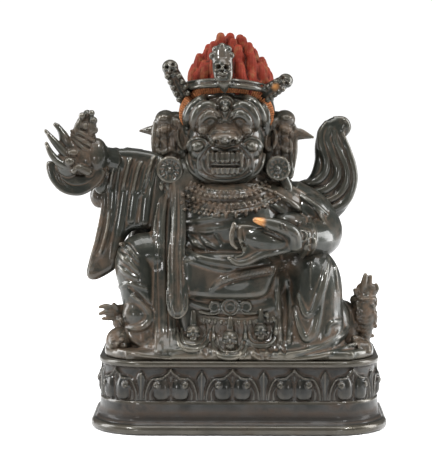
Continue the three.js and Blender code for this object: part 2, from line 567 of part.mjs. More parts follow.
function raisedHand() {
  const edge = [[-96, 96], [-95.4, 91], [-93.2, 86.4], [-89.4, 82.4], [-84.2, 80.3], [-78.4, 80.3], [-73.4, 82.8],
    [-69, 86.6], [-66.6, 92], [-71, 95], [-77, 90.5], [-84, 91.5], [-90, 95.6], [-94, 97.4]];
  return [
    slab(edge, -24, 2, 1, 22),
    limb([[-64, -14, 96.5], [-69, -18, 98], [-72, -20.5, 99.5]], [7, 6.6, 7], { steps: 3 }), // wrist
    ball([-71, -21.5, 99.4], [5.8, 6, 9.8], { around: 9 }), // heel of the hand
    ball([-79, -23, 98.5], [6.4, 4.4, 8.4]), // palm
    ball([-84, -27.5, 97.6], [3.1, 2.8, 2.9]), // curled finger
    limb([[-82, -27, 101], [-85.5, -28, 103.5], [-83, -28, 106.5]], [2.2, 2.3, 1.8], { steps: 4, sides: 6 }), // thumb
    limb([[-84, -25, 99], [-90, -26.5, 105.5], [-96, -27, 112.6]], [2.5, 2, 0.8], { steps: 4, sides: 6 }),
    limb([[-85, -26, 95.5], [-91, -28, 99], [-95.6, -28, 106.4]], [2.6, 2.2, 1], { steps: 4, sides: 6 }),
    ball([-86, -24, 110.4], [3.6, 3, 3.6]), // knuckle of the raised finger, and its tip
    limb([[-85.6, -24, 111], [-88, -24.5, 114], [-90.6, -24.5, 116]], [2, 1.7, 1.2], { steps: 3, sides: 6 }),
    limb([[-80, -23, 92], [-78.5, -22.5, 104], [-76, -22, 118]], [2.6, 2.8, 2.6], { steps: 4, sides: 6 }),
    ball([-77.6, -22, 112], [5.4, 5, 6], { turn: [0, 25, 0] }), // prongs of the handle
    ball([-72.6, -22, 112.4], [3.4, 4, 4.6]),
    ball([-75.6, -22, 119.6], [3.1, 3, 3.4]),
  ];
}

// The viewer's right arm, bent, with a bangle and the hand before the chest

function bentArm() {
  return [
    limb([[26, -2, 76], [36, -3, 71], [42, -8, 62.5], [40.5, -18, 58], [30, -31, 58.5]],
      [11, 10.4, 10, 9, 6.6], { steps: 8, sides: 9 }),
    limb([[31, -38, 64], [34.2, -35.5, 58], [32, -34, 51.5]], [2.4, 3, 2.4], { steps: 4, sides: 6 }), // bangle
    rosette([30, -39.4, 61], 2.8, [0.1, -1, 0.2], 8),
    ball([14, -36.5, 57], [13.4, 6, 8.4], { turn: [0, 4, 0], around: 12, down: 8 }), // palm
    limb([[25.5, -39.5, 58], [24.6, -42.5, 64.5], [17, -44, 66.8], [7.4, -43.5, 69.6]], [4.2, 3.7, 3, 1.1],
      { steps: 7 }), // thumb
    limb([[9, -37, 64.5], [-1.4, -39.5, 67], [-4.6, -41.5, 60.5], [-3, -41, 54]], [3, 2.3, 2, 1.6],
      { steps: 6, sides: 6 }), // curled fingers
    limb([[6, -38, 60], [-3, -41, 59.5], [-7.6, -41, 55.6], [-6.4, -40, 51]], [3, 2.4, 2, 1.6],
      { steps: 5, sides: 6 }),
    limb([[24, -38, 53], [10, -41, 50.6], [0, -41.5, 47.6], [-7, -41, 50]], [2.8, 2.6, 2.3, 1],
      { steps: 6, sides: 6 }), // little finger along the palm's edge
  ];
}

// The end of the other sleeve, blown up behind the shoulder like a flame that curls over at its tip

function flyingSleeve() {
  const outline = [[33.5, 85.5], [36.6, 89], [38.6, 96], [38.7, 104], [40.6, 111.4], [44.8, 116.6], [50.6, 118.6],
    [54.8, 116.4], [55.2, 112.6], [53.6, 109], [56.4, 101.6], [59.4, 94.4], [60.2, 87.6], [58.8, 79.6], [55, 71.6],
    [48, 65], [36, 62], [24, 64], [22, 76], [28, 82]];
  const flame = slab(outline, 5, 4.6, 2.4, 30);
  const { ridge } = layerOn(flame);
  const strands = [-1, 1].flatMap((side) => [
    ridge([[30, 70], [44, 70.5], [54, 77], [56.6, 87], [53, 97], [48.6, 106.5]], [2, 2.4, 2, 1.2], { side }),
    ridge([[30, 77], [42, 79], [49, 88], [48, 98], [43.6, 108], [45, 114]], [2, 2.4, 2.2, 1.2], { side }),
    ridge([[34, 83], [40.5, 89], [42.6, 98], [41.4, 106], [44, 113]], [1.8, 2, 1.8, 1.4], { side }),
  ]);
  return [flame, ...strands];
}

// Hands, head and foot of the small body he crushes, at both ends of the hem

function trampledBody() {
  return [
    ball([-60, -25, 7.2], [7, 7, 7], { around: 10, down: 8 }), // its head
    ball([-54, -17, 9], [9, 10, 10]), ball([-59.6, -20, 16], [4.2, 4, 4]),
    limb([[-50, -14, 18], [-58, -18, 21.5], [-64.5, -20, 21]], [4, 3.4, 3], { steps: 3, sides: 6 }),
    limb([[-64, -20, 22], [-69.6, -21, 23.4]], [1.7, 1], { steps: 2, sides: 5 }),
    limb([[-63, -21, 19.4], [-68.4, -22, 19]], [1.7, 1], { steps: 2, sides: 5 }),
    ball([53, -9, 10], [9, 10, 16]),
    ball([59.5, -17, 2], [8, 10, 5.4], { around: 9 }), // heel and instep of its foot
    ...[0, 1, 2, 3].map((toe) => limb([[56 + toe * 2.7, -23, 3.6], [56 + toe * 3.1, -28, 1.8]], [1.7, 1.5],
      { steps: 2, sides: 5 })),
    limb([[62, -13, 4], [63.4, -12.5, 12], [63.6, -12, 21], [63.8, -12, 27.5]], [3, 5.6, 6.4, 5], { steps: 5, sides: 8 }),
    ball([58.8, -13, 26.6], [2.8, 2.8, 2.6]), ball([66.6, -12, 30], [3.8, 3.4, 4]),
    ball([63, -12, 31], [3.8, 3.2, 3.8]),
    limb([[62.6, -12.5, 33], [63.2, -12.8, 39.4]], [1.7, 1.1], { steps: 2, sides: 5 }),
    limb([[66, -12, 33], [66.4, -12.4, 38.6]], [1.7, 1.2], { steps: 2, sides: 5 }),
  ];
}

// Folds, straps, chains and pendants laid on the surface of the masses below them

function carving(masses) {
  const { ridge, knob, boss } = layerOn(masses);
  const pendantHead = (x, z) => [knob(x, z, [3.8, 3.2, 4.6], { around: 8 }), knob(x, z + 6.5, [1.8, 2, 3.4])];
  const swag = (x, z) => ridge([[x - 9, z + 4], [x - 5, z - 4.5], [x, z - 6.2], [x + 5, z - 4.5], [x + 9, z + 4]],
    [1, 1.4, 1], { steps: 6 });
  const backFolds = [-36, -24, -12, 0, 12, 24, 36].map((x) => ridge([[x, 4], [x * 0.9, 35], [x * 0.62, 82]],
    [2.8, 2.2, 0.9], { side: 1, steps: 4 }));
  return [
    // borders of the cloak and a sash end that fall on the viewer's left to the hem
    ridge([[-39, 92], [-41.4, 72], [-40.6, 50], [-39.8, 28], [-38.6, 4]], [3, 3.4, 3, 3], { sides: 6, flat: 0.8 }),
    ridge([[-33.6, 78], [-34.6, 58], [-34.4, 34], [-34, 6]], [3.4, 3.8, 3.6, 3.4], { sides: 6, flat: 0.7 }),
    ridge([[-29.5, 90], [-29.6, 70], [-31, 57]], [2.6, 3, 3.4], { sides: 6, flat: 0.8 }),
    ridge([[-29.4, 51], [-28.6, 38], [-28.6, 22]], [3, 4.2, 4.6], { sides: 6, flat: 0.6, sink: 0.1 }),
    knob(-30, 55, [4, 3, 3.4]), // its knot
    // neck chains, and the robe's folds across the chest
    ridge([[-25, 82], [-17, 78], [-6, 76.6], [6, 78], [16, 82]], [1.2, 1.2]),
    ridge([[-26, 76], [-16, 72.4], [-5.5, 71], [8, 72.6], [21, 77]], [1.7, 1.7]),
    ridge([[-24, 67], [-14, 68.4], [-3, 70], [10, 72]], [1.3, 1.4, 1]),
    ridge([[-24, 62.5], [-14, 63], [-5, 64.4]], [1.4, 1.6, 1.2]),
    ridge([[-23.5, 59.4], [-18, 55.6], [-12, 53]], [1.6, 1.8, 0.9]),
    ridge([[-18.6, 59], [-13.6, 56]], [1.2, 0.8], { steps: 2 }),
    ridge([[-26, 53.4], [-19, 49], [-9, 47], [4, 45.6], [18, 47]], [1.8, 2, 1.8, 1.4]),
    ridge([[-22, 47], [-10, 43.4], [6, 42], [24, 44.6]], [1.4, 1.6, 1.4]),
    ridge([[24, 45], [10, 40.6], [0, 40.4], [-8.6, 38.6], [-14.4, 34]], [1.9, 2.2, 2.2, 2, 0.8]), // tongue of the sash
    // belt below the belly, its rosettes, the hanging heads and their swags
    ridge([[-26, 22], [-14, 18.6], [0, 17.6], [14, 18.6], [25, 24]], [1.6, 1.6]),
    boss(-11.6, 24, 3.8, 8), boss(-5, 25, 3.8, 8), boss(1.6, 24.4, 3.8, 8),
    ...pendantHead(-23, 11.6), ...pendantHead(-3.8, 8.4), ...pendantHead(10.6, 12),
    swag(-23, 10.4), swag(-3.8, 7), swag(10.6, 10.4),
    // V folds that hang from the viewer's right knee, and the robe's edges beside them
    ridge([[31, 31], [33, 26.4], [35, 24.6], [38.4, 30], [41.6, 39], [44.6, 49]], [1.2, 1.6, 1.8, 1.4, 1.2]),
    ridge([[29, 24.4], [31.6, 16.6], [34.4, 12.4], [37.6, 16.6], [39.6, 27], [44, 43]], [1.2, 1.6, 1.8, 1.4, 1.2]),
    ridge([[35.4, 47.6], [35.6, 40]], [1.3, 1], { steps: 2 }),
    ridge([[25.6, 34], [26.4, 22], [24.4, 10]], [1.4, 2, 1.6]),
    ridge([[21, 36], [20, 22], [20, 8]], [1.6, 1.8, 1.6]),
    ridge([[48, 42], [49, 34]], [1.2, 1], { steps: 2 }),
    ridge([[43.4, 13], [46, 16.4], [50, 17.4]], [1, 1.4, 1]),
    ridge([[41, 5.6], [47, 8.4], [54, 12]], [1, 1.5, 1]),
    // folds over the viewer's left knee and ankle
    ridge([[-58.6, 54], [-52, 50.6], [-48.6, 46]], [1.2, 1.8, 1]),
    ridge([[-59.6, 49], [-54, 46.4], [-50.6, 41.6]], [1.2, 1.8, 1]),
    ridge([[-59, 43.4], [-53.6, 41], [-51, 38.4]], [1.1, 1.6, 1]),
    ridge([[-52.7, 30], [-47.7, 26.6], [-45, 21.6], [-45.6, 17], [-50, 14.4], [-54, 14]], [1.3, 1.7, 1.7, 1.2]),
    ridge([[-59, 19], [-57, 14.6], [-53.6, 9.6], [-48, 5.4]], [1.2, 1.6, 1.2]),
    // hem lines that sweep round the foot of the cloth
    ridge([[-47, 6], [-32, 2.4], [-14, 1.4], [6, 1.4], [24, 2], [42, 4.6], [54, 10]], [1.4, 2, 2.2, 2, 1.2]),
    ...backFolds,
  ];
}

function figure() {
  const head = headMass();
  const masses = join([...cloak(), ...legs(), ...head, ...face(head), ...hair(), ...crown(), ...headRibbons(),
    ...raisedSleeve(), ...raisedHand(), ...bentArm(), ...flyingSleeve(), ...trampledBody()]);
  const below = new THREE.BoxGeometry(400 * UNIT, 400 * UNIT, 60 * UNIT);
  below.translate(0, 0, -30 * UNIT);
  return join([masses, ...carving(masses)]).subtract(solidOf(below));
}

function piece(name, geometry, material) {
  const mesh = new THREE.Mesh(geometry, material);
  mesh.name = name;
  return mesh;
}

const lotusPlinth = piece("lotus_plinth", withCorners(plinth(), PLINTH_CORNERS), BRONZE_PLINTH);
const guardian = piece("guardian_figure", withCorners(figure(), FIGURE_CORNERS), BRONZE);
guardian.position.z = PLINTH_HEIGHT + SEAT_GAP;

const group = new THREE.Group();
group.add(lotusPlinth, guardian);

export default group;
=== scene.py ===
# The looks of a cast bronze guardian figure in a wide-sleeved cloak, on a lotus plinth cast apart.
# Each piece is modelled like wax: closed forms are pressed into each other, joined under one skin, softened,
# and then carved with strokes. Places are in millimetres of the figure, with z 0 at its seat, +X to the
# viewer's right and the face towards -Y. The finished meshes are in metres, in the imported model's frame.
import math

import bmesh
import bpy
import numpy as np
from bpy.props import FloatProperty, FloatVectorProperty, PointerProperty
from mathutils import Euler, Matrix, Vector
from mathutils.bvhtree import BVHTree


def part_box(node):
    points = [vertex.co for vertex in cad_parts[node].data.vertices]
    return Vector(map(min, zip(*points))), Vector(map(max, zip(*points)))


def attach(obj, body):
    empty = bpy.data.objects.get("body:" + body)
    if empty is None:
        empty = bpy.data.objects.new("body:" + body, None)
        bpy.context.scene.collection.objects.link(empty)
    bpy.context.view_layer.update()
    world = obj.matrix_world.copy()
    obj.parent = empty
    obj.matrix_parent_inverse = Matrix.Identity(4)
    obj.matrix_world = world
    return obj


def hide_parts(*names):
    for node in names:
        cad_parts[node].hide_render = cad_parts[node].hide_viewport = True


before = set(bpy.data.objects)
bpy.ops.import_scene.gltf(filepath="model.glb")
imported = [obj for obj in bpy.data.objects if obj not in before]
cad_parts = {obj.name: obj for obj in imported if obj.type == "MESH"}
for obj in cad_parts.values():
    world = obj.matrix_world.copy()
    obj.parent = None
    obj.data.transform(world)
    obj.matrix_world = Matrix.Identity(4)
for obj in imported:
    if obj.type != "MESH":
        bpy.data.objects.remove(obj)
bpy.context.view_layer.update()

bl_info = {
    "name": "Cast Guardian Figure",
    "version": (1, 0, 0),
    "blender": (4, 5, 0),
    "location": "3D View > Sidebar > Guardian",
    "description": "Models a cast bronze guardian figure and its lotus plinth, one operator for each piece",
    "category": "Object",
}

MM = 0.001
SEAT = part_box("guardian_figure")[0].z / MM  # height of the figure's foot
PLINTH_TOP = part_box("lotus_plinth")[1].z

HEAD_X = -6.0  # the head stands a little to the viewer's left of the plinth's middle
FACE_X = -7.0  # and the face looks a little further that way
HAIR_X = HEAD_X + 1.5
HAIR_SPAN = 22.0  # half the width of the outer ring of locks
HEM_HALF_X, HEM_HALF_Y, HEM_CORNER = 67.6, 40.6, 21.6  # plan of the cloth's flat foot on the plinth
PETAL_SHIFT = 3.0  # the petals stand this far to the viewer's left of the plinth's middle

TO_FRONT = np.array([0.0, -1.0, 0.0])
ROUND = 2 * math.pi
SAME_PLACE = 1e-7  # points of a finished mesh closer than this are joined, in metres
MOST_TRIANGLES = 62000  # of a piece, unless it needs more:
PLINTH_TRIANGLES, HEAD_TRIANGLES, BODY_TRIANGLES = 120000, 140000, 165000
PLINTH_STEP = 0.5  # spacing of the plinth's points along its wall
DRAWN_HALF = 15.2  # half spacing at which the petal is drawn


class PlinthSizes(bpy.types.PropertyGroup):
    """Sizes of the lotus plinth"""
    height: FloatProperty(name="Height", description="From the ground to the plinth's flat top",
                          default=PLINTH_TOP, unit="LENGTH")
    width: FloatProperty(name="Width", description="Of the plain wall, from side to side",
                         default=0.140, unit="LENGTH")
    depth: FloatProperty(name="Depth", description="Of the plain wall, from front to back",
                         default=0.086, unit="LENGTH")
    corner_radius: FloatProperty(name="Corner radius", description="Of the wall, in plan",
                                 default=0.024, unit="LENGTH")
    petal_pitch: FloatProperty(name="Petal pitch", description="Wanted spacing of the petals along the wall",
                               default=0.0304, unit="LENGTH")


class FigureSizes(bpy.types.PropertyGroup):
    """Fineness of the figure's skin"""
    body_grain: FloatProperty(name="Body grain", default=0.00062, precision=5, unit="LENGTH",
                              description="Size of the skin's cells on the cloth and the body")
    fine_grain: FloatProperty(name="Fine grain", default=0.00050, precision=5, unit="LENGTH",
                              description="Size of the skin's cells on hands, hair and sleeves")
    face_grain: FloatProperty(name="Face grain", default=0.00038, precision=5, unit="LENGTH",
                              description="Size of the skin's cells on the face and ornaments")


class FinishColours(bpy.types.PropertyGroup):
    """Colours of the patina and the pigments"""
    bronze: FloatVectorProperty(name="Bronze", description="Dark patina on the open surfaces", size=3,
                                subtype="COLOR", default=(0.0166, 0.0182, 0.0142), min=0, max=1)
    deposit: FloatVectorProperty(name="Deposit", description="Brown wax and dust in the hollows", size=3,
                                 subtype="COLOR", default=(0.062, 0.040, 0.025), min=0, max=1)
    worn: FloatVectorProperty(name="Worn", description="Warmer metal on the rubbed high places", size=3,
                              subtype="COLOR", default=(0.088, 0.078, 0.060), min=0, max=1)
    hair: FloatVectorProperty(name="Hair pigment", description="Red paint on the hair", size=3,
                              subtype="COLOR", default=(0.112, 0.0145, 0.0075), min=0, max=1)
    hairline: FloatVectorProperty(name="Hairline pigment", description="Orange paint along the brow", size=3,
                                  subtype="COLOR", default=(0.29, 0.112, 0.046), min=0, max=1)
    gilding: FloatVectorProperty(name="Rubbed gilding", description="Bright spots of rubbed golden metal",
                                 size=3, subtype="COLOR", default=(0.36, 0.16, 0.05), min=0, max=1)


# Smooth paths

def evenly(path, count, **options):
    """The places of a path spaced evenly, and its length."""
    reach = np.r_[0, np.cumsum(np.linalg.norm(np.diff(path, axis=0), axis=1))]
    stops = np.linspace(0, reach[-1], count, **options)
    return np.stack([np.interp(stops, reach, column) for column in path.T], 1), reach[-1]


def smooth_path(points, count):
    """Evenly spaced places on a smooth curve through the given ones, the directions there and the length."""
    given = np.array(points, float)
    held = np.vstack([2 * given[0] - given[1], given, 2 * given[-1] - given[-2]])
    shares = np.linspace(0, 1, 12, endpoint=False)[:, None]
    dense = []
    for a, b, c, d in zip(held, held[1:], held[2:], held[3:]):
        dense.append(0.5 * (2 * b + (c - a) * shares + (2 * a - 5 * b + 4 * c - d) * shares ** 2
                            + (3 * b - a - 3 * c + d) * shares ** 3))
    path, length = evenly(np.vstack(dense + [given[-1:]]), count)
    along = np.gradient(path, axis=0)
    return path, along / np.maximum(np.linalg.norm(along, axis=1), 1e-9)[:, None], length


def closed_path(points, count):
    """Evenly spaced places on a smooth closed curve through the given ones."""
    loop = [*points[-2:], *points, *points[:2]]
    path = smooth_path(loop, 12 * len(loop))[0]
    far = np.linalg.norm(path - np.array(points[0], float), axis=1)
    half = len(path) // 2
    return evenly(path[np.argmin(far[:half]):half + np.argmin(far[half:]) + 1], count, endpoint=False)[0]


def spread(values, count):
    """A short list of values drawn out evenly to `count` of them."""
    return np.interp(np.linspace(0, len(values) - 1, count), np.arange(len(values)), values)


def each(method, rows, **options):
    """Calls a modelling method for every row of places and sizes. A row may end in options of its own."""
    for places, sizes, *own in rows:
        method(places, sizes, **{**options, **(own[0] if own else {})})


def disc_axes(facing):
    """The axis of a round form and the two directions across it."""
    axis = Vector(facing).normalized()
    across = axis.orthogonal().normalized()
    return axis, across, axis.cross(across)


# Modelling in wax

def new_object(name, data):
    item = bpy.data.objects.new(name, data)
    bpy.context.scene.collection.objects.link(item)
    return item


def apply_modifiers(piece):
    """Turns what a piece's modifiers show into its mesh."""
    bpy.context.view_layer.update()
    shaped = bpy.data.meshes.new_from_object(piece.evaluated_get(bpy.context.evaluated_depsgraph_get()))
    piece.modifiers.clear()
    piece.data = shaped


def vectors(mesh, key):
    """The places or the outward directions of a mesh's points, as an array."""
    values = np.empty(len(mesh.vertices) * 3, np.float32)
    mesh.vertices.foreach_get(key, values)
    return values.reshape(-1, 3).astype(float)


class Clay:
    """Closed forms pressed into each other, until skin() joins them into one surface."""

    def __init__(self):
        self.mesh = bmesh.new()
        self.tree = None

    def press(self, form):
        """Adds a single form's mesh."""
        carrier = bpy.data.meshes.new("form")
        form.to_mesh(carrier)
        form.free()
        self.mesh.from_mesh(carrier)
        bpy.data.meshes.remove(carrier)
    def turned(self, centres, across, front, halves, sides, swell=None):
        """A closed form of oval rings. The first and last centre are its poles, and halves are each ring's
        half sizes across and to the front."""
        last = len(centres) - 1
        form = bmesh.new()
        bmesh.ops.create_uvsphere(form, u_segments=sides, v_segments=last, radius=1)
        for corner in form.verts:
            x, y, z = corner.co
            level = round(math.acos(max(-1.0, min(1.0, -z))) / math.pi * last)
            turn = math.atan2(y, x)
            wide, deep = halves[level]
            if swell and 0 < level < last:
                more = swell(turn, level)
                wide, deep = wide + more, deep + more
            corner.co = (centres[level] + across[level] * (math.cos(turn) * wide)
                         + front[level] * (math.sin(turn) * deep))
        self.press(form)

    def ball(self, centre, size, turn=(0, 0, 0), around=24, down=16):
        """An ellipsoid of half sizes, turned about X, Y and Z in degrees."""
        place = Matrix.LocRotScale(Vector(centre), Euler([math.radians(a) for a in turn]), Vector(size))
        form = bmesh.new()
        bmesh.ops.create_uvsphere(form, u_segments=around, v_segments=down, radius=1, matrix=place)
        self.press(form)

    def limb(self, points, radii, sides=12, steps=0, flat=1.0, cap=0.85):
        """A tapering limb, lock, fold or ribbon along a smooth path. `flat` thins it from front to back."""
        steps = steps or max(8, 5 * len(points))
        path, along, _ = smooth_path(points, steps)
        widths = spread(radii, steps)
        first, last = widths[0] * cap, widths[-1] * cap
        centres = np.vstack([path[0] - along[0] * first, path[0] - along[0] * first * 0.7, path,
                             path[-1] + along[-1] * last * 0.7, path[-1] + along[-1] * last])
        widths = np.r_[0, widths[0] * 0.7, widths, widths[-1] * 0.7, 0]
        along = np.vstack([along[:1], along[:1], along, along[-1:], along[-1:]])
        fronts = TO_FRONT - along * (along @ TO_FRONT)[:, None]
        fronts /= np.maximum(np.linalg.norm(fronts, axis=1), 1e-9)[:, None]
        centres, acrosses, fronts = [[Vector(row) for row in rows]
                                     for rows in (centres, np.cross(along, fronts), fronts)]
        self.turned(centres, acrosses, fronts, [(w, w * flat) for w in widths], sides)

    def stack(self, ovals, sides, rings, swell):
        """A body of ovals [z, middle x, middle y, half width, half depth] from the lowest up."""
        z, x, y, wide, deep = smooth_path(ovals, rings)[0].T
        z, x, y = [np.r_[v[0], v, v[-1]] for v in (z, x, y)]
        self.turned([Vector(c) for c in zip(x, y, z)], [Vector((1, 0, 0))] * len(z),
                    [Vector((0, 1, 0))] * len(z), [(0, 0), *zip(wide, deep), (0, 0)], sides,
                    lambda turn, level: swell(turn, z[level]))

    def lathe(self, centre, profile, facing, sides):
        """A round form from a profile of (radius, height) pairs, its axis along `facing`."""
        axis, across, front = disc_axes(facing)
        profile = [(0, profile[0][1]), *profile, (0, profile[-1][1])]
        self.turned([Vector(centre) + axis * height for _, height in profile], [across] * len(profile),
                    [front] * len(profile), [(radius, radius) for radius, _ in profile], sides)

    def rosette(self, centre, radius, facing, petals, sides):
        """A round boss with a raised rim, a ring of beads and a middle stud."""
        self.lathe(centre, [(radius * share, height) for share, height in (
            (1, -1.6), (1, 0.7), (0.93, 1.1), (0.84, 1.1), (0.76, 0.4), (0.4, 0.3), (0.34, 0.9), (0.2, 1.3))],
            facing, sides)
        axis, across, _ = disc_axes(facing)
        for i in range(petals):
            out = across.copy()
            out.rotate(Matrix.Rotation(ROUND * i / petals, 3, axis))
            self.ball(Vector(centre) + out * radius * 0.58 + axis * 0.5, [radius * 0.15] * 3, around=10,
                      down=7)

    def slab(self, outline, middle, half, rounding, count=90, lying=False):
        """A slab with a smooth outline and rounded edges, its broad sides to front and back, or lying."""
        form = bmesh.new()
        corners = [form.verts.new((x, middle - half, z)) for x, z in closed_path(outline, count)]
        rim = form.faces.new(corners)
        grown = bmesh.ops.extrude_face_region(form, geom=[rim], use_keep_orig=True)["geom"]
        far = [v for v in grown if isinstance(v, bmesh.types.BMVert)]
        bmesh.ops.translate(form, vec=(0, 2 * half, 0), verts=far)
        edges = [e for e in form.edges if abs(e.verts[0].co.y - e.verts[1].co.y) < half]
        bmesh.ops.bevel(form, geom=edges, offset=rounding, affect="EDGES", segments=4, profile=0.5,
                        clamp_overlap=True)
        if lying:
            bmesh.ops.rotate(form, verts=form.verts, cent=(0, 0, 0),
                             matrix=Matrix.Rotation(math.pi / 2, 3, "X"))
        self.press(form)

    def settle(self):
        """Remembers the surface so far, so that folds can be laid on it."""
        self.tree = BVHTree.FromBMesh(self.mesh)

    def lie_on(self, *names):
        """Lays later folds and beads on finished pieces instead."""
        work = bmesh.new()
        for name in names:
            work.from_mesh(bpy.data.objects[name].data)
        to_wax = Matrix.Scale(1 / MM, 4) @ Matrix.Translation((0, 0, -SEAT * MM))
        bmesh.ops.transform(work, matrix=to_wax, verts=work.verts)
        self.tree = BVHTree.FromBMesh(work)
        work.free()

    def surface(self, x, z, side=-1, otherwise=-30.0):
        """The y of the surface seen at (x, z) from the front, or from the back where side is 1."""
        hit = self.tree.ray_cast(Vector((x, side * 120, z)), Vector((0, -side, 0)))[0]
        return hit.y if hit else otherwise

    def ridge(self, points, radii, side=-1, sink=0.3, dense=3, first=30.0, **options):
        """A fold along (x, z) points, sunk into the surface by a share of its first radius."""
        path = smooth_path(points, dense * (len(points) - 1) + 1)[0]
        depth = []
        for x, z in path:
            depth.append(self.surface(x, z, side, depth[-1] if depth else side * first))
        depth = np.array(depth) - side * radii[0] * sink
        soft = depth.copy()
        soft[1:-1] = (depth[:-2] + 2 * depth[1:-1] + depth[2:]) / 4
        self.limb([(x, y, z) for (x, z), y in zip(path, soft)], radii, **options)

    def knob(self, x, z, size, sink=0.0, **options):
        """A ball half sunk in the surface."""
        self.ball((x, self.surface(x, z) + sink, z), size, **options)

    def beads(self, points, radius, pitch):
        """A row of round beads laid along (x, z) points."""
        length = smooth_path(points, 8)[2]
        form = bmesh.new()
        for x, z in smooth_path(points, max(2, round(length / pitch)))[0]:
            place = Vector((x, self.surface(x, z) - radius * 0.35, z))
            bmesh.ops.create_icosphere(form, subdivisions=2, radius=1,
                                       matrix=Matrix.LocRotScale(place, None, Vector([radius] * 3)))
        self.press(form)

    def skin(self, name, grain, rounds=2, share=1.0):
        """Joins the forms into one softened surface, cut flat at the seat, as a new object. `grain` names
        the size of its cells, of which it takes a share."""
        mesh = bpy.data.meshes.new(name)
        self.mesh.to_mesh(mesh)
        self.mesh.free()
        piece = new_object(name, mesh)
        joined = piece.modifiers.new("joined", "REMESH")
        joined.mode = "VOXEL"
        cell = getattr(bpy.context.scene.guardian_figure, grain) * share / MM
        joined.voxel_size = cell * 1
        softened = piece.modifiers.new("softened", "SMOOTH")
        softened.factor = 0.5
        softened.iterations = rounds
        apply_modifiers(piece)
        piece.data.name = name
        cut_flat(piece.data)
        return piece


def cut_flat(mesh):
    """Cuts a mesh off level at z 0 and closes it there, if it reaches so low."""
    if vectors(mesh, "co")[:, 2].min() >= 0:
        return
    work = bmesh.new()
    work.from_mesh(mesh)
    bmesh.ops.bisect_plane(work, geom=[*work.verts, *work.edges, *work.faces], dist=1e-4,
                           plane_co=(0, 0, 0), plane_no=(0, 0, 1), clear_inner=True)
    rims = [e for e in work.edges if e.is_boundary]
    bmesh.ops.triangle_fill(work, use_beauty=True, use_dissolve=False, edges=rims, normal=(0, 0, -1))
    bmesh.ops.recalc_face_normals(work, faces=work.faces)
    work.to_mesh(mesh)
    work.free()


# Carving strokes into a finished skin

class Relief:
    """The points and outward directions of a piece, which strokes push out or press in."""

    def __init__(self, piece):
        self.mesh = piece.data
        self.mesh.update()
        self.points = vectors(self.mesh, "co")
        self.out = vectors(self.mesh, "normal")

    def near(self, points, width, side):
        """Points of the skin within a width of a path drawn on the front or the back, how far off they
        are, and their share of the way along it."""
        path = smooth_path(points, max(6, 5 * len(points)))[0]
        low, high = path.min(0) - width, path.max(0) + width
        x, z = self.points[:, 0], self.points[:, 2]
        seen = (x > low[0]) & (x < high[0]) & (z > low[1]) & (z < high[1]) & (self.out[:, 1] * side > 0.05)
        chosen = np.nonzero(seen)[0]
        flat = self.points[chosen][:, [0, 2]]
        best = np.full(len(chosen), 1e9)
        share = np.zeros(len(chosen))
        for i, (a, b) in enumerate(zip(path, path[1:])):
            line = b - a
            t = np.clip(((flat - a) @ line) / max(line @ line, 1e-9), 0, 1)
            far = np.linalg.norm(flat - a - t[:, None] * line, axis=1)
            closer = far < best
            best[closer] = far[closer]
            share[closer] = (i + t[closer]) / (len(path) - 1)
        keep = best < width
        return chosen[keep], best[keep], share[keep]

    def stroke(self, points, width, height, side=-1, taper=0.25):
        """Pushes out a rounded ridge, or presses in a groove where the height is negative."""
        chosen, far, share = self.near(points, width, side)
        profile = 0.5 + 0.5 * np.cos(np.pi * far / width)
        ends = np.clip(np.minimum(share, 1 - share) / taper, 0, 1) if taper else 1
        self.points[chosen] += self.out[chosen] * (height * profile * ends)[:, None]

    def strokes(self, rows, width, height, **options):
        """The same stroke along several paths."""
        for points in rows:
            self.stroke(points, width, height, **options)

    def dots(self, places, width, height):
        """Small round studs or pits."""
        for x, z in places:
            self.stroke([(x, z), (x + 1e-3, z)], width, height, taper=0)

    def done(self):
        """Stores the carved points in the mesh."""
        self.mesh.vertices.foreach_set("co", self.points.astype(np.float32).ravel())
        self.mesh.update()


# Finishing a piece

def eased(values, pairs, weights, rounds):
    """Values on a mesh's points, evened out with their neighbours a number of times."""
    for _ in range(rounds):
        total = np.zeros_like(values)
        for column in range(values.shape[1]):
            total[:, column] = (np.bincount(pairs[:, 0], values[pairs[:, 1], column], len(values))
                                + np.bincount(pairs[:, 1], values[pairs[:, 0], column], len(values)))
        values = 0.5 * values + 0.5 * total / weights[:, None]
    return values


def store(mesh, name, values):
    """Stores a value from 0 to 1 for each point of a mesh."""
    layer = mesh.attributes.new(name, "FLOAT", "POINT")
    layer.data.foreach_set("value", np.clip(values, 0, 1).astype(np.float32))


def mark_wear_and_shade(mesh):
    """Stores how hollow and how proud each point lies, for the deposits, the rubbed metal and the painted
    shade in the hollows.
    """
    points, out = vectors(mesh, "co"), vectors(mesh, "normal")
    pairs = np.empty(len(mesh.edges) * 2, np.int32)
    mesh.edges.foreach_get("vertices", pairs)
    pairs = pairs.reshape(-1, 2)
    weights = np.maximum(np.bincount(pairs.ravel(), minlength=len(points)), 1).astype(float)
    span = float(np.median(np.linalg.norm(points[pairs[:, 0]] - points[pairs[:, 1]], axis=1)))
    proud = np.zeros(len(points))
    level = points
    for rounds, reach in ((6, 0.9), (24, 2.0)):  # small dents, and then larger ones
        level = eased(level, pairs, weights, rounds)
        proud += np.clip(((points - level) * out).sum(1) / span / reach, -1.5, 1.5)
    proud = eased(proud[:, None], pairs, weights, 1)[:, 0]
    store(mesh, "hollow", -proud)
    store(mesh, "rubbed", proud)


def mark_spots(mesh, name, spots):
    """Stores soft spots about places in figure millimetres, each of one size or of one for each axis."""
    points = vectors(mesh, "co") / MM - np.array([0, 0, SEAT])
    strength = np.zeros(len(points))
    for centre, size in spots:
        far = np.linalg.norm((points - np.array(centre)) / np.array(size), axis=1)
        strength = np.maximum(strength, 1.6 - 1.6 * far)  # full up to three eighths of the size
    store(mesh, name, strength)


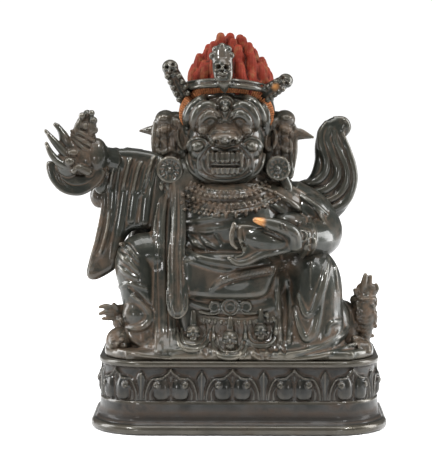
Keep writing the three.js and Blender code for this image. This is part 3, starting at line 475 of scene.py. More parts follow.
def thin(piece, most):
    """Takes out the flattest points of a piece until it has no more triangles than wanted."""
    count = sum(len(face.vertices) - 2 for face in piece.data.polygons)
    if count > most:
        piece.modifiers.new("thinned", "DECIMATE").ratio = most / count
        apply_modifiers(piece)


def finish_piece(piece, node="guardian_figure", slot="figure_bronze", material=None, most=MOST_TRIANGLES,
                 placed=True, **spots):
    """Thins a piece, brings it to metres in the frame, stores its hollows and high places (for the deposit,
    the rubbed metal and painted shade) and its spots of dust or gilding, attaches it to the root body and
    hides its node's part. The slot is not used."""
    thin(piece, most)
    mesh = piece.data
    if placed:
        mesh.transform(Matrix.Translation((0, 0, SEAT * MM)) @ Matrix.Scale(MM, 4))
    work = bmesh.new()
    work.from_mesh(mesh)
    bmesh.ops.remove_doubles(work, verts=work.verts, dist=SAME_PLACE)
    work.to_mesh(mesh)
    work.free()
    mesh.polygons.foreach_set("use_smooth", [True] * len(mesh.polygons))
    mesh.update()
    mark_wear_and_shade(mesh)
    for name, rows in spots.items():
        mark_spots(mesh, name, rows)
    mesh.materials.clear()
    mesh.materials.append(material or figure_bronze())
    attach(piece, "root")
    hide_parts(node)


# Materials

class Nodes:
    """A short way to lay out a material's nodes."""

    def __init__(self, name):
        self.material = bpy.data.materials.new(name)
        self.material.use_nodes = True
        self.tree = self.material.node_tree
        self.place = self.add("ShaderNodeTexCoord").outputs["Object"]

    def feed(self, node, fed):
        """Links other nodes' outputs to a node's inputs, or gives them plain values."""
        for key, value in fed.items():
            if isinstance(value, bpy.types.NodeSocket):
                self.tree.links.new(value, node.inputs[key])
            else:
                node.inputs[key].default_value = value

    def add(self, kind, fed=None, **settings):
        node = self.tree.nodes.new(kind)
        for key, value in settings.items():
            setattr(node, key, value)
        self.feed(node, fed or {})
        return node

    def surface(self, fed):
        """Feeds the material's shader."""
        self.feed(self.tree.nodes["Principled BSDF"], fed)
        return self.material

    def noise(self, size, detail=4.0, rough=0.55):
        """Cloudy variation with patches of about `size` millimetres."""
        mapping = self.add("ShaderNodeMapping", {"Vector": self.place, "Scale": [1 / (size * MM)] * 3})
        return self.add("ShaderNodeTexNoise", {"Vector": mapping.outputs["Vector"], "Scale": 1.0,
                                               "Detail": detail, "Roughness": rough}).outputs["Fac"]

    def stored(self, name):
        return self.add("ShaderNodeAttribute", attribute_name=name).outputs["Fac"]

    def ranged(self, value, low, high, to_low=0.0, to_high=1.0):
        fed = {"Value": value, "From Min": low, "From Max": high, "To Min": to_low, "To Max": to_high}
        return self.add("ShaderNodeMapRange", fed, clamp=True).outputs["Result"]

    def maths(self, operation, one, other):
        return self.add("ShaderNodeMath", {0: one, 1: other}, operation=operation).outputs["Value"]

    def times(self, one, other):
        return self.maths("MULTIPLY", one, other)

    def mixed(self, share, one, other):
        """One colour turned into the other by a share."""
        one, other = [c if isinstance(c, bpy.types.NodeSocket) else (*c, 1) for c in (one, other)]
        return self.add("ShaderNodeMix", {0: share, 6: one, 7: other}, data_type="RGBA").outputs[2]

    def bump(self, height, distance, strength, **onto):
        return self.add("ShaderNodeBump", {"Height": height, "Distance": distance * MM, "Strength": strength,
                                           **onto}).outputs["Normal"]


def scaled(colour, share):
    """A colour made darker or lighter by a share."""
    return [min(1.0, c * share) for c in colour]


def bronze_material(name, colours, tone=1.0, coat=0.62):
    """Dark, waxed bronze: cloudy patina, brown deposit in the hollows and where dust is stored, painted shade
    that darkens the deepest hollows, rubbed high places, fine pitting, and golden metal where gilding is
    stored."""
    made = Nodes(name)
    cloud = made.noise(22, 5.0, 0.6)
    fleck = made.noise(3.2, 6.0, 0.65)
    grain = made.noise(0.7, 3.0, 0.6)
    dark = scaled(colours.bronze, tone)
    patina = made.mixed(made.ranged(cloud, 0.35, 0.68), scaled(dark, 0.74), scaled(dark, 1.22))
    patina = made.mixed(made.ranged(fleck, 0.42, 0.72, 0.0, 0.5), patina, scaled(dark, 0.55))
    rubbed = made.times(made.ranged(made.stored("rubbed"), 0.2, 0.95), made.ranged(cloud, 0.3, 0.7, 0.4, 1.0))
    patina = made.mixed(rubbed, patina, scaled(colours.worn, 0.45 + 0.55 * tone))
    dust = made.times(made.stored("dust"), made.ranged(made.noise(4.5, 6.0, 0.65), 0.38, 0.6, 0.1, 0.9))
    hollow = made.times(made.ranged(made.stored("hollow"), 0.05, 0.55),
                        made.ranged(made.noise(6), 0.3, 0.6, 0.45, 1.0))
    stain = made.ranged(made.noise(12, 6.0, 0.7), 0.52, 0.68, 0.0, 0.5)
    brown = made.maths("MAXIMUM", made.maths("MAXIMUM", hollow, dust), stain)
    shade = made.mixed(brown, patina, scaled(colours.deposit, 0.2 + 0.8 * tone))
    # painted shade: the deepest hollows are darkened towards black bronze, standing in for the shade that
    # falls in them
    painted_crease_shade = made.ranged(made.stored("hollow"), 0.45, 0.95, 0.0, 0.75)
    shade = made.mixed(made.stored("gilt"), made.mixed(painted_crease_shade, shade, scaled(dark, 0.45)), colours.gilding)
    rough = made.maths("ADD", made.ranged(fleck, 0.35, 0.75, 0.36, 0.5), made.times(brown, 0.3))
    wax = made.times(made.ranged(brown, 0.1, 0.8, coat, coat * 0.3),
                     made.ranged(made.noise(9, 5.0, 0.6), 0.36, 0.6, 0.45, 1.0))
    return made.surface({
        "Base Color": shade, "Coat Weight": wax, "Coat Roughness": 0.11, "Specular IOR Level": 0.2,
        "Roughness": made.maths("SUBTRACT", rough, made.times(rubbed, 0.14)),
        "Metallic": made.maths("MAXIMUM", made.ranged(brown, 0.05, 0.6, 0.4, 0.0), made.times(rubbed, 0.7)),
        "Normal": made.bump(grain, 0.08, 0.6, Normal=made.bump(fleck, 0.3, 0.5))})


def pigment_material(name, pigment, bare, hollow_shade):
    """Old paint on bronze: chalky pigment, stained with dull orange, darkened in the hollows as painted
    shade, and worn through to the metal in flecks."""
    colours = bpy.context.scene.guardian_finish
    made = Nodes(name)
    fleck = made.noise(1.6, 6.0, 0.7)
    paint = made.mixed(made.ranged(made.noise(7, 5.0, 0.6), 0.3, 0.7), scaled(pigment, 0.72),
                       scaled(pigment, 1.35))
    paint = made.mixed(made.ranged(made.noise(4, 5.0, 0.6), 0.5, 0.66, 0.0, 0.75), paint,
                       scaled(colours.hairline, 0.5))
    # painted shade: the pigment is made much darker in the hollows, standing in for the shade that falls
    # there
    paint = made.mixed(made.ranged(made.stored("hollow"), 0.05, 0.8, 0.0, hollow_shade), paint,
                       scaled(pigment, 0.22))
    through = made.times(made.ranged(fleck, 0.56, 0.7), bare)
    return made.surface({
        "Base Color": made.mixed(through, paint, scaled(colours.bronze, 1.2)), "Specular IOR Level": 0.08,
        "Roughness": made.ranged(through, 0.0, 1.0, 0.62, 0.4),
        "Metallic": made.ranged(through, 0.0, 1.0, 0.0, 0.6), "Normal": made.bump(fleck, 0.16, 0.6)})


def figure_bronze():
    """The figure's bronze, made once."""
    return (bpy.data.materials.get("figure_patina")
            or bronze_material("figure_patina", bpy.context.scene.guardian_finish))


# The body: a cloak of stacked ovals, broad chest, round belly, collar and draped legs

def beside(middle_x, side, points):
    """Places of (x, z) points given outwards from a middle, on one side of it."""
    return [(middle_x + side * x, z) for x, z in points]


def arc(middle_x, points):
    """A symmetric curve from the (x, z) points of its right half, from left to right."""
    right = [point for point in points if point[0]]
    return beside(middle_x, -1, reversed(points)) + beside(middle_x, 1, right)


def cloaked_body():
    clay = Clay()
    clay.stack([(-4, 3, -1, 54, 36), (6, 3, -1, 53, 35), (16, 2, 1, 47, 31), (38, 0, 3, 42, 28),
                (58, -2, 3, 39, 26), (74, -3, 2, 37, 23), (86, -4, 1, 31, 19), (94, -5, 0, 22, 14)], 168, 60,
               lambda turn, z: max(0, math.sin(turn)) * 1.9 * (1 - z / 110) * math.cos(14 * turn))
    clay.ball((-4, -6, 66), (28, 24, 25), around=48, down=32)  # chest
    clay.ball((-2, -9, 39), (32, 26.5, 19), around=48, down=32)  # belly
    clay.slab([(-27.6, 50), (-28, 40), (-27.4, 31.6), (-20, 29.8), (-8, 29.0), (6, 29.2), (13, 30.8),
               (16, 36), (18, 45), (12, 50.6), (0, 52), (-16, 52)],
              -26.6, 8.0, 4.0)  # robe drawn flat over the belly
    clay.ball((-2, -13, 15), (31, 20, 14), around=40, down=24)  # robe between the knees
    clay.limb([(-32, -9, 90), (-36, -13, 76), (-38.2, -16.4, 60), (-38.4, -20, 40), (-37.6, -24, 20),
               (-37, -28, 6)], [5, 6, 6.4, 6.6, 6.8, 7], sides=32, flat=0.9, steps=40)  # hanging border
    clay.slab([(-28, 30), (-28.4, 8), (-20, 4), (0, 3), (14, 5), (19, 12), (20, 30), (0, 31)],
              -21.6, 8.6, 4.0)  # apron
    clay.ball((-5, -14, 54.5), (26, 15.4, 9.5), around=40, down=24)
    clay.limb([(24, -15, 40), (25, -22, 22), (25, -28, 6)], [8, 8, 8], sides=32, flat=0.7)
    clay.ball((19, -9, 76), (15, 12, 10), turn=(0, 14, 0), around=36, down=24)  # cloth towards the arm
    clay.ball((-27, -12, 84), (12, 10, 14), around=36, down=24)
    clay.ball((HEAD_X, -8, 79.5), (24.5, 20, 9), around=40, down=20)  # collar
    clay.ball((27, -1, 74), (14, 10, 11))  # viewer's right shoulder
    each(clay.limb, [  # thighs, knees and shins under the cloth
        ([(-14, -4, 40), (-36, -14, 49), (-51, -18, 49), (-50, -21, 32), (-47, -22, 8)],
         [13, 12, 10.5, 10.5, 9, 10]),
        ([(18, -4, 40), (32, -16, 44), (38.5, -23, 38), (38.5, -24, 22), (38, -24, 6)],
         [13, 12, 12.5, 13.5, 15])], sides=36, steps=40)
    clay.ball((46, -13, 16), (11, 12, 15), turn=(0, -8, 0))  # robe spread beside the shin
    clay.ball((-51, -26, 21), (7.4, 5.6, 7.6))  # cloth gathered over the ankle
    corners = [(math.cos(math.radians(angle)), math.sin(math.radians(angle))) for angle in (0, 30, 60, 90)]
    clay.slab([(side_x * (HEM_HALF_X - HEM_CORNER + HEM_CORNER * x),
                side_y * (HEM_HALF_Y - HEM_CORNER + HEM_CORNER * y))
               for side_x, side_y in ((1, 1), (-1, 1), (-1, -1), (1, -1))
               for x, y in corners[::side_x * side_y]],
              1.7, 2.7, 2.0, count=160, lying=True)  # the flat spread of the hem
    clay.ball((3, -4, 1), (61, 37, 9), around=72, down=20)
    clay.ball((2, -24, 1), (57, 15, 8), around=48, down=16)
    each(clay.ball, [((-30, -28, 3), (20, 12, 9)), ((30, -27, 3), (26, 12, 9)),
                     ((-45, 1, 48), (13, 8, 24))])  # the hem's front corners, and cloth behind the knee
    clay.settle()
    lay_borders(clay)
    lay_chest_folds(clay)
    lay_knee_folds(clay)
    for x in range(-40, 41, 10):  # long folds of the back
        clay.ridge([(x, 3), (x * 0.93, 30), (x * 0.74, 62), (x * 0.5, 86)], [2.6, 2.3, 1.7, 0.8], side=1)
    body = clay.skin("guardian_body", "body_grain")
    carve_body(Relief(body))
    return body


def lay_borders(clay):
    """Borders of the cloak and the sash end, which fall on the viewer's left to the hem."""
    for x, top in ((-41.4, 79), (-38.0, 82), (-34.6, 84)):
        clay.ridge([(x + 2, top), (x, 64), (x + 0.4, 50), (x + 0.8, 28), (x + 1.4, 4)],
                   [1.0, 1.9, 2.0, 2.1, 2.0], sides=18, flat=0.6, sink=0.2, dense=5)
    strip = [(-31.4, 88, 1.6), (-30.6, 84, 2.3), (-30.2, 76, 3.0), (-30.2, 63, 3.4), (-31.0, 52, 3.8),
             (-30.8, 40, 4.6), (-30.4, 25, 4.9)]  # x, z and half width
    rise = (clay.surface(-31.4, 88) + 32.0) / 36  # how fast it falls back towards the shoulder
    line = [(x, -30.5 + (z - 52) * (rise if z > 52 else 0.14), z) for x, z, _ in strip]
    clay.limb(line, [half for _, _, half in strip], sides=32, flat=0.45)
    for share, thick in ((0.92, 0.8), (0.5, 0.6)):  # its double edge
        left, right = [[(x + side * share * half, y - 0.26 * half / share, z)
                        for (x, y, z), (_, _, half) in zip(line, strip)] for side in (-1, 1)]
        tip = (-30.4, line[-1][1] - 1.2, 25 - 5 * share)
        clay.limb(left + [tip] + right[::-1], [thick, thick], sides=12, steps=110)


def lay_chest_folds(clay):
    each(clay.ridge, [
        ([(-26, 66.6), (-14, 68.8), (-3, 70.8), (8, 73.4), (18, 78)], [1.7, 1.9, 1.5], {"flat": 0.8}),
        # folds from the neck over the shoulder
        ([(16, 88), (24, 84), (33, 78.6), (42, 73)], [1.4, 2.2, 1.6]),
        ([(13, 83), (22, 78.6), (30, 72.6), (37, 66.8)], [1.3, 2.2, 1.6]),
        ([(12, 77), (20, 73), (27, 67.4)], [1.2, 1.9, 1.3]),
        # folds in the hollow beside the jaw
        *[([(1, 86 + lift), (8, 84.6 + lift), (15, 82.4 + lift)], [0.9, 1.5, 1.0]) for lift in (0, 2.4, 4.8)],
        # folds of the robe drawn over the chest and the belly
        ([(-27.6, 62.2), (-16, 62.9), (-3, 65)], [1.7, 2.0, 1.4], {"flat": 0.8}),
        ([(-25.4, 60.4), (-21.6, 56.6), (-16.4, 53.2)], [1.2, 2.0, 0.9]),
        ([(-19.6, 60.2), (-16.4, 56.8), (-10.6, 53.6)], [1.1, 1.8, 0.8]),
        ([(-11.4, 61.2), (-9.2, 57.4), (-7.4, 55.4)], [1.0, 1.2, 0.7]),
        ([(-27.2, 53.0), (-21, 50.2), (-9, 47.6), (4, 45.9), (18, 46)], [1.8, 2.2, 2.0, 1.6], {"flat": 0.85}),
        ([(-24, 48.6), (-10, 44.6), (6, 43), (24, 45.2)], [1.2, 1.5, 1.3]),
        # tongue of the sash
        ([(24, 46.0), (12, 44.2), (1.5, 42.2), (-6.2, 39.8), (-10.6, 37.4), (-14.0, 33.8)],
         [2.4, 2.6, 2.7, 2.5, 2.2, 0.6], {"flat": 0.7, "sink": 0.0, "sides": 18}),
        # edge of the belt, the belt and its studded band
        ([(-26, 31.4), (-16, 29.2), (-2, 28.2), (12, 29.0), (19, 33)], [1.2, 1.6, 1.2], {"flat": 0.8}),
        ([(-25, 28), (-16, 24.8), (-2, 23.0), (12, 24), (20, 27)], [1.6, 2.2, 1.6], {"flat": 0.7}),
        ([(-19, 18.8), (-2, 17.4), (17, 18.8)], [2.6, 2.8, 2.6], {"flat": 0.45, "sink": 0.1, "sides": 18})])


def lay_knee_folds(clay):
    each(clay.ridge, [
        # V folds that hang from the viewer's right knee
        ([(29.4, 32), (31.6, 25.6), (34, 21.8), (37.4, 25), (40.6, 35), (44.4, 49)],
         [1.2, 2.0, 2.3, 2.0, 1.2], {"flat": 0.9}),
        ([(27.6, 25), (30.4, 15.6), (33.4, 10.2), (36.8, 13.6), (38.8, 22), (41, 32)],
         [1.2, 2.0, 2.3, 2.0, 1.2], {"flat": 0.9}),
        ([(35.6, 47.6), (35.6, 36)], [1.4, 0.9]),
        ([(23.6, 38), (25.8, 28), (26.4, 18), (24.8, 8)], [1.6, 2.2, 2.3, 1.8]),
        ([(18.6, 40), (19.2, 26), (20.6, 8)], [1.8, 2.3, 2.0]),
        ([(47.4, 45), (48.6, 34)], [1.5, 1.0]),
        ([(43.4, 12.6), (45, 17.6), (50.6, 18.4)], [1.0, 1.6, 0.9]),
        ([(43, 7.6), (48, 9.4), (55, 14)], [1.0, 1.7, 1.0]),
        ([(14, 44), (17, 42.6), (20.6, 44.4)], [0.9, 1.3, 0.9]),
        # folds over the viewer's left knee and ankle
        ([(-58.8, 56.6), (-54, 52.4), (-50.4, 48.4)], [1.0, 2.3, 1.2]),
        ([(-60.4, 51.6), (-55, 47.8), (-50.6, 43.0)], [1.0, 2.4, 1.2]),
        ([(-60.4, 45.4), (-55.4, 42.0), (-51, 39.0)], [1.0, 2.0, 1.2]),
        ([(-52.7, 30.6), (-47.7, 26.6), (-44.6, 21.6), (-45.6, 17), (-50, 14.4), (-56, 14.2)],
         [1.3, 2.1, 2.2, 1.3]),
        ([(-59, 19), (-57, 14.6), (-53.6, 9.6), (-48, 5.4)], [1.0, 1.7, 1.3]),
        ([(-40.6, 13.6), (-39, 8.4), (-41.6, 4.6)], [1.1, 1.9, 1.2]),
        ([(-60, 34), (-54, 36.6), (-46, 34)], [0.9, 1.5, 1.0])])
    each(clay.ridge, [  # sweeping folds of the hem
        ([(-44, 6), (-34, 4.2), (-22, 4.8), (-16, 4.6), (-9, 2.6), (2, 1.0)], [1.2, 1.7, 1.6, 1.2]),
        ([(4, 5.0), (8, 2.6), (11.6, -0.6)], [1.0, 1.6, 1.3]),
        ([(10, 3.2), (22, 2.6), (34, 4.2), (45, 6.8), (54, 11)], [1.2, 1.7, 1.8, 1.2]),
        ([(14, 0.6), (30, 0.8), (44, 3.0), (58, 6.6)], [1.1, 1.6, 1.2]),
        ([(-60, 4), (-48, 2.4), (-34, 0.8)], [1.0, 1.5, 1.0])], first=60)


def carve_body(relief):
    for x in (-40.4, -35.6, -33.2):  # sunk lines along the hanging borders
        relief.stroke([(x + 1, 84), (x - 0.6, 62), (x, 34), (x + 0.8, 8)], 0.9, -0.55, taper=0.1)
    relief.strokes([[(x, 49), (x + 0.4, 38), (x + 0.2, 25)] for x in (-30.4, -28.2)], 0.8, -0.5)
    relief.strokes([[(-58 + shift, 37 - shift), (-52 + shift, 33 - shift), (-46 + shift, 27 - shift)]
                    for shift in (0, 2.6, 5.0)], 1.2, -0.6)  # slanting creases of the lap's cloth
    for i in range(21):  # woven texture on the sash and its tongue
        x = -8 + i * 1.6
        z = 39 + 5.4 * ((x + 8) / 34) ** 0.7
        relief.stroke([(x - 0.5, z - 1.4), (x + 0.6, z + 1.8)], 0.6, -0.42, taper=0)
    for lift in (-2.7, 2.7):
        relief.stroke([(22, 45.6 + lift), (12, 44.0 + lift), (1.5, 42.0 + lift), (-6.2, 39.6 + lift),
                       (-11, 36.8 + lift)], 1.1, -0.8)
    for x in np.arange(7) * 6.5 - 20:  # folds and creases of the hem
        relief.stroke([(x, 8), (x + 1.2, 4.4), (x + 0.4, 1.2)], 1.3, 0.7)
        relief.stroke([(x + 3, 7), (x + 3.6, 4.0), (x + 3.0, 1.4)], 1.0, -0.6)
    relief.strokes([[(22 + shift * 4, 3.4 + shift), (38 + shift * 2, 5.6 + shift * 1.2), (52, 12 + shift)]
                    for shift in (0, 2.4, 4.6)], 1.2, 0.6)
    relief.strokes([[(x, 17), (x + 0.4, 9.6)] for x in range(-17, 19, 2)], 0.6, -0.35,
                   taper=0)  # fine lines across the apron between the knees
    relief.strokes([[(x, 6), (x * 0.85, 34), (x * 0.62, 60)] for x in range(-48, 49, 12)], 2.2, -0.8,
                   side=1)  # softer creases behind
    relief.done()


# The head: skull and jaw, then the face laid on them

def guardian_head():
    clay = Clay()
    clay.ball((HEAD_X - 0.6, -6, 109.5), (20.8, 21.5, 25), around=56, down=40)
    clay.ball((HEAD_X - 0.6, -12.5, 97), (20, 15.5, 11.6), around=56, down=30)
    clay.ball((HEAD_X + 19, -1, 92), (9, 8, 14))
    clay.ball((HEAD_X + 14, -4, 86), (13, 9, 10))
    clay.ball((HEAD_X - 20, -1, 92), (9, 8, 14))
    clay.stack([(92, HEAD_X, 5, 12, 9), (97, HEAD_X, 6, 19, 14), (106, HEAD_X, 5, 21.8, 17.6),
                (120, HEAD_X + 0.5, 3, 22, 19), (131, HEAD_X + 1, 0.5, 22, 20.5),
                (135.5, HEAD_X + 1.5, -1, 21, 20)], 144, 36,
               lambda turn, z: 0.7 * abs(math.cos(11 * turn)) if math.sin(turn) > -0.2 else 0.0)
    for side in (-1, 1):  # temples, swollen brows and cheeks
        clay.ball((HEAD_X - 0.2 + side * 19.2, -6, 118), (5.4, 11, 13), around=32, down=24)
        clay.ball((FACE_X + side * 11.2, -22.6, 119.6), (8.6, 5.0, 8.4), turn=(0, 0, side * 24))
        clay.ball((FACE_X + side * 12.0, -21.4, 103.5), (7.0, 5.6, 6.4), turn=(0, 0, side * 22))
    clay.ball((FACE_X, -24.6, 109.6), (5.6, 5.2, 5.4))  # bridge and tip of the nose
    clay.ball((FACE_X, -23.6, 96.6), (10.2, 4.6, 7.4), around=36, down=24)  # muzzle behind the teeth
    clay.settle()
    lay_brows(clay)
    lay_features(clay)
    lay_mouth(clay)
    head = clay.skin("guardian_head", "face_grain")
    carve_face(Relief(head))
    return head


def lay_brows(clay):
    """Flame-like brows: bands that curl over each eye, one inside the other."""
    for points, radii in (
            ([(4.8, 129.6), (9, 129.0), (13, 127), (16.4, 123.6), (18.6, 119), (19, 113.5)],
             [1.0, 2.3, 2.6, 2.4, 1.4]),
            ([(4.0, 123.4), (7.4, 125.2), (11, 124.4), (13.8, 121.4), (15.5, 117), (15.3, 112.8)],
             [1.0, 2.3, 2.6, 2.3, 1.2]),
            ([(1.8, 117.0), (4.6, 120.2), (7.8, 120.9), (10.6, 119.2), (12.2, 116.2), (11.8, 113.8)],
             [1.4, 2.3, 2.4, 1.9, 1.0])):
        for side in (-1, 1):
            clay.ridge(beside(FACE_X, side, points), radii, sides=18, sink=0.12, dense=4)


def lay_features(clay):
    clay.knob(FACE_X, 108.8, (6.6, 4.4, 3.2))  # nose
    clay.knob(FACE_X, 108.0, (2.6, 5.6, 2.4))
    clay.ridge(arc(FACE_X, [(0, 111.5), (3.4, 112.4), (6.2, 111.6), (7.6, 109.2)]), [1.4, 1.5, 1.2, 1.5, 1.4],
               sides=14, sink=-0.4)
    for side in (-1, 1):
        clay.knob(FACE_X + side * 5.2, 107.8, (2.8, 3.6, 2.3))  # wing of the nose
        clay.knob(FACE_X + side * 10.8, 112.8, (2.6, 2.8, 2.3), sink=-0.9)  # eyeball
        clay.ridge(beside(FACE_X, side, [(8.0, 113.4), (9.0, 115.2), (11, 115.8), (13.6, 114.4)]),
                   [0.7, 1.1, 0.8], sides=10)  # upper lid
        clay.ridge(beside(FACE_X, side, [(8.8, 110.6), (10, 109.8), (11.8, 109.8), (13.6, 111.2)]),
                   [0.7, 1.1, 0.7], sides=10)  # lower lid
        clay.knob(FACE_X + side * 13.6, 104.8, (3.4, 3.4, 2.8), turn=(0, side * 14, 0), sink=-1.0)  # cheek
        clay.ridge(beside(FACE_X, side, [(8.6, 106.2), (12, 108.4), (16, 107.6), (18.6, 104.6)]),
                   [0.8, 1.3, 0.9], sides=12)  # swollen fold over the cheek knob
        clay.limb([(HEAD_X + side * 20.5, -9, 116), (HEAD_X + side * 23.6, -8.5, 107),
                   (HEAD_X + side * 21.6, -9.5, 99)], [2.6, 3.4, 2.2], flat=0.7)  # ear
    clay.knob(FACE_X, 125.4, (4.6, 2.4, 4.8), sink=0.4)  # swelling round the third eye
    for tip, tip_seen, root, root_seen, radius in ((131.4, 130, 127.6, 128, 2.6),
                                                   (119.6, 120, 123.0, 122, 2.4)):  # its two ends
        clay.limb([(FACE_X, clay.surface(FACE_X, tip_seen) - 0.4, tip),
                   (FACE_X, clay.surface(FACE_X, root_seen) - 1.0, root)], [0.8, radius], flat=0.6)
    clay.knob(FACE_X, 125.2, (1.5, 3.4, 1.9), sink=0.2)  # third eye
    clay.ridge([(FACE_X - 3.4, 118.8), (FACE_X, 117.2), (FACE_X + 3.4, 118.8)], [0.7, 1.1, 0.7])


def tooth(clay, x, root, tip, radii, lean=0.0):
    """A tooth between a root and a tip, each a (height, height of the surface under it, how far out)."""
    clay.limb([(x, clay.surface(x, root[1]) - root[2], root[0]),
               (x + lean, clay.surface(x, tip[1]) - tip[2], tip[0])], radii, sides=12)


def lay_mouth(clay):
    each(clay.ridge, [
        ([(-24, 96), (-19.4, 91.4), (-13, 88.9), (-7, 88.2), (-1, 88.9), (4.6, 91.2), (8.6, 95.6)],
         [0.7, 1.5, 1.9, 2.0, 1.9, 1.5, 0.7], {"flat": 0.8, "sides": 18}),  # edge of the chin
        (arc(FACE_X, [(0, 102.2), (2.6, 103.2), (5.8, 103.4), (8.8, 101.6), (10.6, 98.4), (10.6, 94.6)]),
         [1.3, 1.5, 1.4, 1.5, 1.3], {"sides": 14}),  # upper lip
        (arc(FACE_X, [(0, 90.4), (4, 90.6), (7.6, 91.6), (9.8, 93.4), (10.6, 96.0)]),
         [1.2, 1.5, 1.2], {"sides": 14}),  # lower lip
        (arc(FACE_X, [(0, 105.4), (3.6, 106.0), (7.6, 105.6), (11, 102.8), (13.2, 98.4), (13.6, 93)]),
         [0.8, 1.2, 1.1, 1.2, 0.8], {"sides": 12}),  # fold round the mouth
        (arc(FACE_X, [(0, 86.6), (6, 87.2), (12, 89.6), (17.0, 94.0), (19.4, 100)]),
         [1.1, 2.2, 2.6, 2.2, 1.1], {"sides": 18, "sink": 0.0}),  # jaw rim
        ([(FACE_X - 7.4, 96.2), (FACE_X, 96.0), (FACE_X + 7.4, 96.2)], [0.7, 0.85, 0.7], {"sides": 12})])
    for x in FACE_X + (np.arange(6) - 2.5) * 2.35:  # upper and lower teeth
        tooth(clay, x, (101.4, 99, 0.7), (97.8, 98, 1.1), [1.15, 1.0])
        tooth(clay, x, (94.0, 92.5, 0.7), (91.6, 92, 0.6), [1.1, 1.0])
    for side in (-1, 1):  # fangs
        tooth(clay, FACE_X + side * 8.1, (101.2, 99, 0.9), (94.8, 96, 1.6), [1.3, 0.6], side * 0.2)


def carve_face(relief):
    for side in (-1, 1):
        relief.dots(beside(FACE_X, side, [(4.2, 107.2), (4.3, 107.1)]), 1.7, -1.8)  # nostrils
        for points, width, height, taper in (
                ([(5.6, 122.0), (3.6, 119.4), (1.8, 116.6)], 0.9, -0.7, 0.25),
                ([(0, 129), (2.6, 127.6), (3.4, 125.4), (2.4, 123), (0, 121.6)], 0.8, -0.7, 0.05),
                ([(14.6, 107), (17.6, 102), (17.8, 96.6), (14.8, 91.6)], 1.4, -0.6, 0.25)):
            relief.stroke(beside(FACE_X, side, points), width, height, taper=taper)
        relief.stroke(beside(HEAD_X, side, [(18.0, 109), (20.2, 104), (20.0, 98)]), 1.0, 0.5)
    relief.stroke([(FACE_X - 8, 94.9), (FACE_X + 8, 94.9)], 0.8, -1.2, taper=0.1)  # between the rows of teeth
    for x in HEAD_X + (np.arange(44) - 21.5) * 0.98:  # combed hair down the back
        relief.stroke([(x, 132), (x, 115), (x * 0.9, 98)], 0.55, -0.4, side=1, taper=0.05)
    relief.done()


# The upswept hair: rings of blunt locks that lean in to a dome, over a core

def upswept_hair():
    clay = Clay()
    clay.ball((HAIR_X, 0, 130), (18.4, 17, 25), around=32, down=24)

    def lock(reach, angle, radius, lift=0.0):
        x, y = math.cos(angle), math.sin(angle) * 0.92
        top = 161.2 + lift - 22.5 * (reach / HAIR_SPAN) ** 2.3 - radius * 0.5
        clay.limb([(HAIR_X + x * reach * 0.92, y * reach * 0.92, 129),
                   (HAIR_X + x * reach, y * reach, (131 + top) / 2),
                   (HAIR_X + x * reach * 0.96, y * reach * 0.92, top)],
                  [radius * share for share in (0.9, 1, 1, 1, 0.9, 0.62)], sides=20, steps=22, cap=0.75)

    for reach, count, radius in ((0.1, 1, 3.5), (6.8, 6, 3.4), (12.2, 11, 3.3), (16.6, 15, 3.1),
                                 (19.2, 19, 2.9)):
        for i in range(count):
            lock(reach, ROUND * (i + 0.5) / count + 0.2, radius, math.sin(i * 2.4 + reach) * 1.8)
    for i in range(21):  # a lower tier of short locks that spring from the crown
        lock(20.4, ROUND * i / 21 + 0.1, 2.5, -3.6 + math.sin(i * 1.7))
    hair = clay.skin("guardian_hair", "fine_grain")
    relief = Relief(hair)
    for side in (-1, 1):
        for x in HAIR_X + (np.arange(30) - 14.5) * 1.42:  # combed lines
            relief.stroke([(x, 126), (x, 142), (x * 0.96, 158)], 0.5, -0.22, side=side, taper=0.05)
    relief.done()
    return hair


# The crown: a band round the brow, a fringe of painted hair below it, and five skulls on it

def painted_hairline():
    clay = Clay()
    clay.lie_on("guardian_head")
    strip = [(-28.2, 115), (-28.8, 119), (-27.6, 124), (-24, 129), (-18, 131.9), (-12, 132.9), (-6.5, 133.2),
             (0.5, 132.9), (6.8, 131.3), (11.8, 128.2), (14.8, 124), (16.0, 119), (15.6, 115)]
    clay.ridge(strip, [0.6, 1.9, 2.3, 2.3, 2.2, 2.2, 2.2, 2.2, 2.2, 2.3, 2.3, 1.9, 0.6], sides=20, flat=0.32,
               sink=-0.1, dense=5, first=9.0)
    fringe = clay.skin("painted_hairline", "face_grain", rounds=1)
    relief = Relief(fringe)
    for (x, z), (ahead, rise) in zip(*smooth_path(strip, 62)[:2]):  # short combed hairs across the strip
        relief.stroke([(x + rise * 2.2, z - ahead * 2.2), (x - rise * 2.2, z + ahead * 2.2)], 0.5, -0.55,
                      taper=0)
    relief.done()
    return fringe


def skull(clay, centre, up, size, facing=(0, -1, 0)):
    """A small skull with sunken eyes and a jaw: `up` is its direction and `size` its half width."""
    up = Vector(up).normalized()
    front = Vector(facing)
    front = (front - up * front.dot(up)).normalized()
    across = up.cross(front)

    def place(right, ahead, above):
        return Vector(centre) + (across * right + front * ahead + up * above) * size
    for right, ahead, above, *form in (
            (0, 0, 0.25, 1, 0.95, 1.0), (0, 0.25, -0.75, 0.62, 0.66, 0.5),  # crown and jaw
            (-0.42, 0.62, 0.42, 0.42, 0.42, 0.2), (-0.66, 0.5, -0.2, 0.26, 0.34, 0.22),  # brows and cheeks
            (0.42, 0.62, 0.42, 0.42, 0.42, 0.2), (0.66, 0.5, -0.2, 0.26, 0.34, 0.22),
            (0, 0.92, -0.02, 0.16, 0.2, 0.26)):  # nose
        clay.ball(place(right, ahead, above), [size * share for share in form])
    for i in range(4):
        clay.ball(place((i - 1.5) * 0.24, 0.82, -0.62), [size * 0.13, size * 0.18, size * 0.2], around=8,
                  down=6)  # teeth


